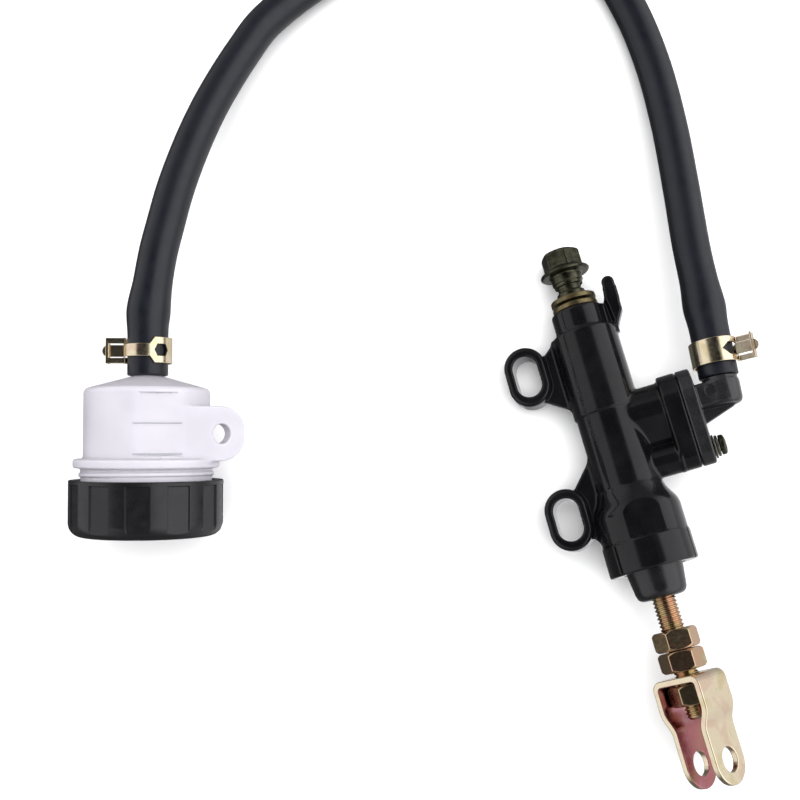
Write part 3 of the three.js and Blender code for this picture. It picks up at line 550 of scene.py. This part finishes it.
def make_hose():
    line = smooth_path(HOSE_ROUTE, 14)
    steps = np.linalg.norm(np.diff(line, axis=0), axis=1)
    along = np.concatenate([[0], np.cumsum(steps)])
    length = along[-1]
    tangents = np.gradient(line, along, axis=0)
    tangents /= np.linalg.norm(tangents, axis=1)[:, None]
    sides = 64
    angles = np.arange(sides) * 2 * math.pi / sides
    side = np.array([1.0, 0.0, 0.0])
    sections = []
    for point, tangent in zip(line, tangents):
        side = side - tangent * (side @ tangent)
        side /= np.linalg.norm(side)
        sections.append((point, side, np.cross(tangent, side)))

    def ring(index, radius, shift=0.0):
        point, across, upward = sections[index]
        centre = point + tangents[index] * shift
        return centre + radius * (np.cos(angles)[:, None] * across + np.sin(angles)[:, None] * upward)

    lip = 0.6
    lip_turns = [math.pi / 2 * k / 4 for k in range(4)]
    first, last = hose_radius(0, length), hose_radius(length, length)
    rings = [ring(2, first - HOSE_WALL, 3.0)] + [ring(0, first - HOSE_WALL)]
    rings += [ring(0, first - lip + lip * math.sin(a), lip - lip * math.cos(a)) for a in lip_turns]
    rings += [ring(i, hose_radius(along[i], length)) for i in range(1, len(line) - 1)]
    rings += [ring(-1, last - lip + lip * math.sin(a), lip * math.cos(a) - lip) for a in lip_turns[::-1]]
    rings += [ring(-1, last - HOSE_WALL), ring(-3, last - HOSE_WALL, -3.0)]
    faces = ring_faces(len(rings), sides)
    piece = mesh_object("hose_tube", np.concatenate(rings), faces, Matrix.Scale(MM, 4))
    place(piece, "housing", "hose", "hose_rubber", HOSE_RUBBER)


make_hose()

# ---- housing -------------------------------------------------------------------------------------

LUG_X, LUG_ZS = -21.9, (-17.8, -67.8)
LUG_WEBS = (
    [(-7.0, -6.5), (-11.0, -9.0), (-16.0, -13.0), (-19.0, -20.0),
     (-18.5, -27.6), (-11.5, -32.4), (-7.0, -33.5)],
    [(-7.0, -48.5), (-10.5, -50.6), (-17.5, -58.5), (-19.0, -66.0),
     (-17.0, -75.0), (-11.0, -79.5), (-7.0, -79.5)],
)
FINGER_WEB = [(6.0, -1.6), (9.4, -0.4), (11.2, 2.6), (12, -11.2), (6.0, -11.2)]
FINGER = [(10.8, 4.0), (10.4, 0.0), (11.2, -9.6), (12.2, -9.0), (14.9, -4.2), (15.0, 4.0)]


def bar_along_x(x, y, z, radius, middle_z, from_x, to_x, round_off=0.4):
    return common(circle(y, z, radius, (0, middle_z)), span(x, from_x, to_x), round_off)


def lug(x, y, z, middle_z, web):
    """One mounting lug: a rounded ring with its web; the slot is cut later."""
    outline = capsule(x, z, (LUG_X, middle_z - 3.2), (LUG_X, middle_z + 3.2), 7.1)
    ring = common(outline, np.abs(y) - 5.0, 1.8)
    plate = common(polygon(x, z, web), np.abs(y) - 2.0, 0.8)
    return join(ring, plate, 1.0)


def lug_slot(x, z, middle_z):
    return capsule(x, z, (LUG_X, middle_z - 2.9), (LUG_X, middle_z + 2.9), 4.2)


def horn(x, y, z):
    """The upright finger beside the boss: thick and tapering to a point, on a thinner web."""
    finger = join(capsule(x, z, (12.9, 6.1), (12.7, 0.5), 2.15), polygon(x, z, FINGER), 1.0)
    finger = common(finger, np.abs(y) - 2.9, 1.2)
    web = common(polygon(x, z, FINGER_WEB), np.abs(y) - 1.7, 0.8)
    return join(finger, web, 0.9)


def collar(x, y, z):
    """The shouldered collar, with a flat in front and one behind; each flat ends in an arch."""
    radius = np.sqrt(x * x + y * y)
    shoulder = (radius - 12.9 + (z + 68.0) * 0.62) * 0.85
    whole = common(common(radius - 14.15, shoulder, 1.0), span(z, -80.4, -63.8), 0.4)
    across, out = turned_about_z(x, y, COLLAR_FLAT_TURN)
    return common(whole, np.abs(out) - 12.9, 0.25)


def collar_band(x, y, z):
    """The round band under the collar, with an upright groove near each side."""
    radius = np.sqrt(x * x + y * y)
    band = common(radius - 14.5, span(z, -90, -79.7), 0.9)
    for turn in (-56, 56):
        across, out = turned_about_z(x, y, FACING + turn)
        groove = common(np.abs(across) - 0.3, out)
        band = carve(band, common(groove, 14.0 - radius), 0.3)
    return band


def housing(x, y, z):
    radius = np.sqrt(x * x + y * y)
    boss = common(radius - 8.8, span(z, -12, 0), 0.9)
    upper = common(radius - 11.1, span(z, -37.2, -8.2), 1.0)
    lower = common(radius - 10.5, span(z, -72, -30), 0.4)
    whole = join(boss, upper, 1.3)
    whole = join(whole, lower, 0.25)
    boss_outline = drop(y, z, 8.4, PORT_Z, 4.5, -48)
    port = common(boss_outline, span(x, 3, 18.6), 0.4)
    port = join(port, bar_along_x(x, y, z, 5.2, PORT_SCREW_Z, 3, 18.6), 0.5)
    whole = join(whole, port, 0.9)
    flange = common(drop(y, z, 10.0, PORT_Z, 5.2, PORT_SCREW_Z), span(x, 18.1, PORT_FACE_X), 0.9)
    whole = join(whole, flange, 0.9)
    whole = join(whole, collar(x, y, z), 2.0)
    whole = join(whole, collar_band(x, y, z), 0.25)
    for middle_z, outline in zip(LUG_ZS, LUG_WEBS):
        whole = join(whole, lug(x, y, z, middle_z, outline), 1.5)
    whole = join(whole, horn(x, y, z), 1.1)
    for middle_z in LUG_ZS:
        whole = carve(whole, lug_slot(x, z, middle_z), 0.9)
    hollow = join(common(radius - 5.3, span(z, -17, 2)), common(radius - 2, span(z, -22, -16)))
    hollow = join(hollow, common(radius - 7.0, span(z, -74, -21)))
    hollow = join(hollow, common(radius - 10.0, span(z, -92, -73)))
    hollow = join(hollow, common(radius - 11.3, span(z, -79.1, -77.3)))
    hollow = join(hollow, common(circle(y, z, 3.0, (0, PORT_Z)), span(x, 5, 26)))
    hollow = join(hollow, common(circle(y, z, 6.6, (0, PORT_Z)), span(x, PORT_FACE_X - 1.7, 26)))
    hollow = join(hollow, common(circle(y, z, 2.5, (0, PORT_SCREW_Z)), span(x, PORT_FACE_X - 11, 26)))
    return carve(whole, hollow, 0.35)


place(skin("cylinder_casting", housing, (-29.4, -15, -90.6), (25, 15, 8.8), 0.47, CYLINDER),
      "housing", "cylinder_body", "black_paint", PAINT)

# ---- banjo bolt and its washers ------------------------------------------------------------------


def banjo_bolt(x, y, z):
    radius = np.sqrt(x * x + y * y)
    shank = common(radius - 4.9, span(z, -8, 15), 0.5)
    threads = radius - 4.62 - 0.28 * np.cos(2 * math.pi * (z / 1.25) - np.arctan2(y, x))
    shank = common(shank, join(threads, -z - 0.2 + 1.0, 0), 0)
    neck = common(radius - 5.3, span(z, 10.3, 14.5), 0.5)
    shank = join(shank, neck, 0.3)
    groove = common(4.25 - radius, span(z, 6.9, 9.1), 0.4)
    shank = carve(shank, groove, 0.5)
    flange = common(radius - 8.3, span(z, 13.4, 14.7), 0.5)
    skirt = common((radius - 8.0 + (z - 14.4) * 1.3) * 0.61, span(z, 14, 16.6), 0.2)
    head = prism(x, y, 12.0, 6, -11.4, 0.35)
    crown = np.sqrt(radius**2 + (z - 8.0) ** 2) - 14.9
    head = common(common(head, span(z, 14, 22.2), 0.9), crown, 0.8)
    whole = join(join(join(shank, flange, 0.8), skirt, 0.6), head, 0.5)
    whole = carve(whole, common(circle(y, z, 1.5, (0, 8)), np.abs(x) - 8), 0.2)
    return carve(whole, common(radius - 1.8, span(z, -9, 9)), 0.3)


place(skin("banjo_bolt_detail", banjo_bolt, (-8.8, -8.8, -8.4), (8.8, 8.8, 22.8), 0.2, CYLINDER),
      "housing", "banjo_bolt", "olive_zinc", OLIVE_ZINC)


def flat_washer(outer, inner, low, high, round_off=0.35):
    return lambda x, y, z: common(
        tube_field(np.sqrt(x * x + y * y), (outer + inner) / 2, outer - inner), span(z, low, high), round_off)


for level, low in (("lower", 0.3), ("upper", 2.9)):
    place(skin("seal_washer_" + level, flat_washer(7.7, 5.2, low, low + 1.7), (-8, -8, low - 0.2),
               (8, 8, low + 1.9), 0.2, CYLINDER),
          "housing", "sealing_washer_" + level, "sealing_brass", SEALING_BRASS)

# ---- elbow, its screw and washers ----------------------------------------------------------------


def on_nipple(x, z):
    """A point in the nipple's frame, which leans outwards at the hose's end of the elbow."""
    c, s = math.cos(math.radians(NIPPLE_LEAN)), math.sin(math.radians(NIPPLE_LEAN))
    dx, dz = x - NIPPLE_X, z - HOSE_END_Z
    return dx * c - dz * s, dx * s + dz * c


ELBOW_RIB = [(27, -50.4), (27, -42), (42, -42), (41.2, -44.9), (39.4, -46.4)]


def elbow(x, y, z):
    flange = common(drop(y, z, 10.0, PORT_Z, 5.2, PORT_SCREW_Z), span(x, ELBOW_FACE_X, ELBOW_OUTER_X), 0.9)
    arm = common(common(np.abs(y) - 5.3, span(z, -44.9, -36.8), 1.6), span(x, 27, NIPPLE_X + 1.5), 0.6)
    across, along = on_nipple(x, z)
    post = common(circle(across, y, 6.1), span(along, -9.2, 0), 2.4)
    post = join(post, common(circle(across, y, 5.7), span(along, -3, 0.1), 0.3), 0.2)
    nipple = common(circle(across, y, 4.2), span(along, -1, 32), 0.6)
    rib = common(polygon(x, z, ELBOW_RIB), np.abs(y) - 1.2, 0.5)
    pad = common(circle(x, z, 2.25, (33.6, -40.2)), span(y, -5.5, 0), 0.2)
    dish = common(circle(x, z, 1.8, (33.6, -40.2)), span(y, -6, -5.1), 0.1)
    whole = join(join(flange, arm, 0.8), post, 1.0)
    whole = join(join(whole, rib, 0.8), nipple, 0.3)
    whole = carve(join(whole, pad, 0.25), dish, 0.15)
    inlet = common(circle(y, z, 2.6, (0, PORT_Z)), span(x, 23, 38))
    outlet = common(circle(across, y, 2.6), span(along, -4, 34))
    screw_hole = common(circle(y, z, 2.5, (0, PORT_SCREW_Z)), span(x, 23, 31))
    hollow = join(join(inlet, outlet), screw_hole)
    return carve(whole, hollow, 0.3)


place(skin("inlet_elbow_moulding", elbow, (24.2, -10.4, -63), (45.5, 10.4, -3.6), 0.28, CYLINDER),
      "housing", "inlet_elbow", "elbow_plastic", ELBOW_PLASTIC)


def screw_washer(outer, low, high, split):
    """A washer round the elbow's screw, split on its far side where it is a spring washer."""
    def field(x, y, z):
        ring = common(tube_field(np.sqrt(y * y + (z - PORT_SCREW_Z) ** 2), (outer + 2.6) / 2, outer - 2.6),
                      span(x, low, high), 0.2)
        slit = common(np.abs(y - (x - low) * 0.6) - split, z - PORT_SCREW_Z)
        return carve(ring, slit, 0.1) if split else ring
    return field


def elbow_screw(x, y, z):
    """A cheese-head screw with a cross recess and rolled thread."""
    dz = z - PORT_SCREW_Z
    radius = np.sqrt(y * y + dz * dz)
    threads = radius - 1.95 - 0.15 * np.cos(2 * math.pi * x / 0.8 - np.arctan2(dz, y))
    shank = common(threads, span(x, 15.4, 32), 0.2)
    head = common(radius - 3.3, span(x, 31.4, 33.6), 0.5)
    dome = np.sqrt(radius**2 + (x - 26.4) ** 2) - 7.3
    whole = join(shank, common(head, dome, 0.5), 0.2)
    cross = join(common(np.abs(y) - 0.5, np.abs(dz) - 1.9), common(np.abs(dz) - 0.5, np.abs(y) - 1.9))
    return carve(whole, common(cross, span(x, 32.4, 36)), 0.15)


SCREW_BOX = ((28.9, -4.6, PORT_SCREW_Z - 4.6), (31.9, 4.6, PORT_SCREW_Z + 4.6))
SCREW_WASHERS = (("plain", screw_washer(3.9, 29.4, 30.0, 0)), ("spring", screw_washer(3.5, 30.3, 31.1, 0.4)))
for name, field in SCREW_WASHERS:
    place(skin("screw_washer_" + name, field, *SCREW_BOX, 0.14, CYLINDER),
          "housing", "elbow_%s_washer" % name, "plain_steel", PLAIN_STEEL)
place(skin("elbow_screw_detail", elbow_screw, (15, -4.2, PORT_SCREW_Z - 4.2), (35, 4.2, PORT_SCREW_Z + 4.2),
           0.15, CYLINDER),
      "housing", "elbow_screw", "olive_zinc", OLIVE_ZINC)

# ---- pushrod, nuts and clevis --------------------------------------------------------------------

THREAD_PITCH, THREAD_DEPTH = 1.25, 0.6


def rod_profile():
    """The pushrod's heights and radii, and how much of the thread each height carries."""
    rows = [(-137.6, 0.01, 0), (-137.6, 2.9, 0), (-137.2, 3.3, 0.4)]
    rows += [(height, ROD_RADIUS, 1) for height in np.arange(-136.6, -84.5, THREAD_PITCH / 9)]
    rows += [(-84.2, 3.6, 0.3), (-83.5, 3.3, 0), (-75.2, 3.3, 0)]
    for turn in np.linspace(-40, 89.9, 16):
        angle = math.radians(turn)
        rows.append((-71.5 + 4.6 * math.sin(angle), 4.6 * math.cos(angle), 0))
    return rows


def make_rod():
    rows = rod_profile()

    def radius_at(index, angles):
        height, radius, carried = rows[index]
        turns = height / THREAD_PITCH - angles / (2 * math.pi)
        wave = np.clip(np.abs(turns - np.round(turns)) * 2.5 - 0.12, 0, 1)
        return radius - carried * THREAD_DEPTH * wave

    return lathe("pushrod_threaded", radius_at, [row[0] for row in rows], 72, CYLINDER)


place(make_rod(), "pushrod_group", "pushrod", "yellow_zinc", COPPER_ZINC)


def nut(top, turn):
    """A hexagon nut with both faces chamfered, so each flat ends in an arch."""
    def field(x, y, z):
        radius = np.sqrt(x * x + y * y)
        hexagon = prism(x, y, NUT_FLATS, 6, turn, 0.3)
        low = top - NUT_HEIGHT
        upper = (radius - NUT_FLATS / 2 - 0.05 + (z - top)) * 0.7
        lower = (radius - NUT_FLATS / 2 - 0.05 + (low - z)) * 0.7
        whole = common(common(hexagon, span(z, low, top), 0.12), common(upper, lower), 0.25)
        whole = carve(whole, radius - ROD_RADIUS - 0.3, 0.3)
        return whole
    return field


def place_nut(name, node, top, turn):
    low, high = (-7.6, -7.6, top - NUT_HEIGHT - 0.2), (7.6, 7.6, top + 0.2)
    piece = skin(name, nut(top, turn), low, high, 0.17, CYLINDER)
    place(piece, "clevis_group", node, "yellow_zinc", COPPER_ZINC)


place_nut("jam_nut_upper", "lock_nut_upper", -109.8, FACING - 4)
place_nut("jam_nut_lower", "lock_nut_lower", -116.4, FACING - 15)
place_nut("clevis_nut_detail", "clevis_nut", -126.8, 90 - CLEVIS_TURN + 4)


def clevis_line():
    """The strip's mid-line from the bridge's middle down one ear."""
    top = CLEVIS_TOP - 1
    line = [(0, top)]
    bend = [math.pi / 2 * k / 5 for k in range(6)]
    line += [(5.8 + 2 * math.sin(angle), top - 2 + 2 * math.cos(angle)) for angle in bend]
    for step in range(13):
        t = step / 12
        line.append((7.8 - 2.4 * (1 - math.cos(math.pi * t)) / 2, -133.7 - 7.5 * t))
    line.append((5.4, CLEVIS_TOP - CLEVIS_LENGTH - 2))
    return line


def clevis(x, y, z):
    out, wide = turned_about_z(x, y, -CLEVIS_TURN)
    out = np.abs(out)
    line = clevis_line()
    nearest = None
    for start, end in zip(line, line[1:]):
        piece = capsule(out, z, start, end, 1.0)
        nearest = piece if nearest is None else np.minimum(nearest, piece)
    half = CLEVIS_WIDTH / 2
    eye = CLEVIS_TOP - CLEVIS_LENGTH + half
    face = capsule(wide, z, (0, eye), (0, CLEVIS_TOP + 12), half)
    whole = common(nearest, face, 0.45)
    whole = carve(whole, circle(wide, z, 3.8, (0, eye)), 0.35)
    bridge = common(np.sqrt(x * x + y * y) - ROD_RADIUS - 0.3, -z + CLEVIS_TOP - 4)
    return carve(whole, bridge, 0.3)


def paint_shade_on_inner_faces(piece):
    """A darker, rosier zinc goes on the faces that look inwards, between the two ears, as painted shade and
    painted reflected colour.
    """
    piece.data.materials.append(INNER_SHADE_ZINC)
    to_local = CYLINDER.inverted()
    turn = to_local.to_3x3() * MM
    for face in piece.data.polygons:
        centre = to_local @ face.center
        out, _ = turned_about_z(centre.x, centre.y, -CLEVIS_TURN)
        facing = turn @ face.normal
        out_facing, _ = turned_about_z(facing.x, facing.y, -CLEVIS_TURN)
        if out * out_facing < -0.35 * abs(out) and centre.z < CLEVIS_TOP - 1.5:
            face.material_index = 1


bracket = skin("clevis_bracket", clevis, (-11.6, -11.6, -159.3), (11.6, 11.6, -123.8), 0.22, CYLINDER)
# The faces between the ears get the painted shade.
paint_shade_on_inner_faces(place(bracket, "clevis_group", "clevis", "yellow_zinc", YELLOW_ZINC))

# ---- dust boot -----------------------------------------------------------------------------------


def dust_boot(x, y, z):
    radius = np.sqrt(x * x + y * y)
    taper = (radius - 9.2 - (z + 90) * 0.13) * 0.99
    outside = common(taper, span(z, -99.4, -83.5), 2.6)
    inside = common((radius - 7.7 - (z + 90) * 0.13) * 0.99, span(z, -97.7, -80), 1.5)
    whole = carve(outside, inside, 0.1)
    mouth = common(radius - 4.6, span(z, -101, -96))
    return carve(whole, mouth, 0.9)


boot = skin("dust_boot_rubber", dust_boot, (-10, -10, -100), (10, 10, -83), 0.25, CYLINDER)
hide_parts("dust_boot")
boot.data.materials.append(BOOT_RUBBER)
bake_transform(boot)

# ---- reservoir -----------------------------------------------------------------------------------

WINDOW_TURN = 22.4
TAB_TURN = 53


def reservoir(x, y, z):
    radius = np.sqrt(x * x + y * y)
    wall = common(radius - VESSEL_RADIUS, span(z, 20, 52), 0.5)
    roof = (z - VESSEL_TOP + (radius - 7.4) * 0.274) * 0.965
    outside = common(wall, roof, 1.6)
    neck = common(radius - 20.5, span(z, 6.4, 23), 0.4)
    ring = common(radius - 22.9, span(z, 21.6, 24.5), 1.0)
    whole = join(join(outside, neck, 0.4), ring, 1.0)
    helix = z + 0.35 * np.sin(np.arctan2(y, x) - 0.6)
    for low, high in ((11, 13), (19.0, 20.2)):
        whole = join(whole, common(radius - 21.1, span(helix, low, high), 0.5), 0.3)
    nozzle = common(radius - 4.2, span(z, 48, 75), 0.6)
    whole = join(whole, nozzle, 1.6)
    across, out = turned_about_z(x, y, 90 - TAB_TURN)
    tab = capsule(across, z, (-2, 32.4), (16.3, 32.4), 8.7)
    plate = common(common(tab, span(out, -VESSEL_RADIUS, -VESSEL_RADIUS + 4.6), 0.9), -across - 4)
    whole = join(whole, plate, 1.0)
    across, out = turned_about_z(x, y, WINDOW_TURN)
    opening = common(span(across, -9.0, 8.6), span(z, 25.6, 45.0), 1.0)
    whole = carve(whole, common(opening, out + VESSEL_RADIUS - 1.2, 0), 0.5)
    inside = common(radius - 17.6, span(z, 2, 47), 0.3)
    inside = common(inside, roof + 2.3, 1.0)
    whole = carve(whole, join(inside, common(radius - 2.6, span(z, 40, 77))), 0.2)
    tab_across, tab_out = turned_about_z(x, y, 90 - TAB_TURN)
    hole = common(circle(tab_across, z, 3.1, (16.3, 32.4)), tab_out + 10)
    return carve(whole, hole, 0.5)


place(skin("reservoir_vessel", reservoir, (-23.4, -23.4, 6), (29, 23.4, 75.4), 0.44, RESERVOIR),
      "housing", "reservoir_body", "milky_plastic", MILKY_PLASTIC)


def level_line(middle_z):
    """A thin raised line across the sight window."""
    def field(x, y, z):
        across, out = turned_about_z(x, y, WINDOW_TURN)
        return common(common(span(across, -7.6, 7.4), span(z, middle_z - 0.17, middle_z + 0.17), 0.1),
                      span(out, -VESSEL_RADIUS + 1.0, -VESSEL_RADIUS + 1.5))
    return field


for name, middle_z in (("low", 26.2), ("high", 35.6)):
    low, high = (-2, -20.5, middle_z - 0.4), (16, -12, middle_z + 0.4)
    line = skin("level_line_" + name, level_line(middle_z), low, high, 0.12, RESERVOIR)
    # The grey on the ribs is painted shade.
    line.data.materials.append(LEVEL_LINE_SHADE)
    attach(line, "housing")


def reservoir_cap(x, y, z):
    """A screw cap: a big radius round its end, flat flutes that stop short of the rim, hollow inside."""
    radius = np.sqrt(x * x + y * y)
    edge = 4.5
    corner = np.sqrt(np.maximum(radius - CAP_RADIUS + edge, 0) ** 2 + np.maximum(edge - z, 0) ** 2) - edge
    shell = common(common(corner, radius - CAP_RADIUS), span(z, 0, CAP_HEIGHT), 0.4)
    sector = 2 * math.pi / 12
    angle = np.arctan2(x, -y) - math.radians(CAP_FLUTE_TURN)
    local = angle - np.round(angle / sector) * sector
    out, across = radius * np.cos(local), radius * np.sin(local)
    flute = common(common(CAP_RADIUS - 0.75 - out, np.abs(across) - 3.5), z - 16.4)
    shell = carve(shell, flute, 0.12)
    return carve(shell, common(radius - 21.6, span(z, 2.2, 19)), 0.3)


place(skin("reservoir_screw_cap", reservoir_cap, (-24.5, -24.5, -0.3), (24.5, 24.5, 18.2), 0.32, RESERVOIR),
      "cap", "reservoir_cap", "cap_plastic", CAP_PLASTIC)

# ---- hose clamps ---------------------------------------------------------------------------------

CLAMP_RADIUS, CLAMP_THICKNESS, CLAMP_HALF = 7.3, 0.7, 4.1


def clamp(x, y, z, window):
    """A strip clamp, its ears towards -X. Its narrow end comes over the front and out between the
    rails of its wide end, which comes round the back; its window is at the angle given, in degrees.
    """
    turn = np.degrees(np.arctan2(y, x)) % 360
    height = np.abs(z)
    band = tube_field(np.sqrt(x * x + y * y), CLAMP_RADIUS, CLAMP_THICKNESS)
    half = np.interp(turn, [0, 189, 189.1, window - 31, window - 19, 360], [4.1, 4.1, 2.0, 2.0, 4.1, 4.1])
    strip = common(band, height - half, 0.2)
    arc = np.radians(turn - window) * CLAMP_RADIUS
    hexagon = common(height - 1.9, np.abs(arc) + 0.5 * height - 2.5)
    slot_arc = np.maximum(np.radians(125 + 9 * height - turn), np.radians(turn - 189)) * CLAMP_RADIUS
    slot = common(height - 2.1, slot_arc)
    strip = carve(carve(strip, hexagon, 0.1), slot, 0.1)
    rails = common(common(span(x, -13.2, -6.9), span(y, -1.5, -0.8), 0.15), height - CLAMP_HALF, 0.3)
    rails = carve(rails, common(span(x, -12.2, -5), height - 2.3), 0.1)
    plate = common(common(span(x, -13.2, -12.5), span(y, -1.5, 2.2), 0.15), height - CLAMP_HALF, 0.3)
    plate = carve(plate, common(span(y, -0.6, 0.6), height - 2.2), 0.1)
    tongue = common(capsule(x, z, (-12.7, 0), (-6.0, 0), 1.9), span(y, -0.35, 0.35), 0.1)
    tongue = common(tongue, x + 7.2)
    return join(join(strip, join(rails, plate, 0.2), 0.3), tongue, 0.2)


CLAMP_BOX = ((-15, -7.9, -4.3), (7.9, 7.9, 4.3))
NIPPLE = Matrix.Translation((NIPPLE_X, 0, HOSE_END_Z)) @ Matrix.Rotation(math.radians(NIPPLE_LEAN), 4, "Y")
AT_ELBOW = NIPPLE @ Matrix.Translation((0, 0, 8.2)) @ Matrix.Rotation(math.radians(165), 4, "Z")
AT_NOZZLE = Matrix.Translation((0, 0, 58.9))
for end, home, window in (("reservoir", RESERVOIR @ AT_NOZZLE, 318), ("elbow", CYLINDER @ AT_ELBOW, 303)):
    place(skin("strip_clamp_" + end, lambda x, y, z: clamp(x, y, z, window), *CLAMP_BOX, 0.17, home),
          "housing", "hose_clamp_" + end, "yellow_zinc", YELLOW_ZINC)

# ---- return spring -------------------------------------------------------------------------------

SPRING_RADIUS, SPRING_WIRE, SPRING_TURNS = 5.0, 0.65, 6


def make_spring():
    """The return spring's coil, between the bore's blind end and the piston."""
    to_local = CYLINDER.inverted()
    levels = [(to_local @ vertex.co).z for vertex in frame["nodes"]["return_spring"].data.vertices]
    low, high = min(levels) + SPRING_WIRE, max(levels) - SPRING_WIRE
    sides = 16
    angles = np.arange(sides) * 2 * math.pi / sides
    rings = []
    for t in np.linspace(0, 1, SPRING_TURNS * 40 + 1):
        turn = 2 * math.pi * SPRING_TURNS * t
        out = np.array([math.cos(turn), math.sin(turn), 0])
        centre = SPRING_RADIUS * out + np.array([0, 0, high + (low - high) * t])
        wire = np.cos(angles)[:, None] * out + np.sin(angles)[:, None] * [0, 0, 1]
        rings.append(centre + SPRING_WIRE * wire)
    faces = [face[::-1] for face in ring_faces(len(rings), sides)]
    coil = mesh_object("return_spring_coil", np.concatenate(rings), faces, CYLINDER)
    place(coil, "housing", "return_spring", "plain_steel", PLAIN_STEEL)
    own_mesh(coil)


make_spring()

# ---- parts inside, as the CAD has them -----------------------------------------------------------

INNER_FINISHES = {
    "piston": ("bare_aluminium", BARE_ALUMINIUM), "primary_cup": ("seal_rubber", SEAL_RUBBER),
    "secondary_cup": ("seal_rubber", SEAL_RUBBER),
    "stop_washer": ("plain_steel", PLAIN_STEEL), "circlip": ("plain_steel", PLAIN_STEEL),
    "inlet_seal": ("seal_rubber", SEAL_RUBBER), "diaphragm": ("seal_rubber", SEAL_RUBBER),
    "diaphragm_plate": ("elbow_plastic", ELBOW_PLASTIC),
}
for name, (slot_name, finish) in INNER_FINISHES.items():
    node = frame["nodes"][name]
    node.data.materials.clear()
    node.data.materials.append(finish)
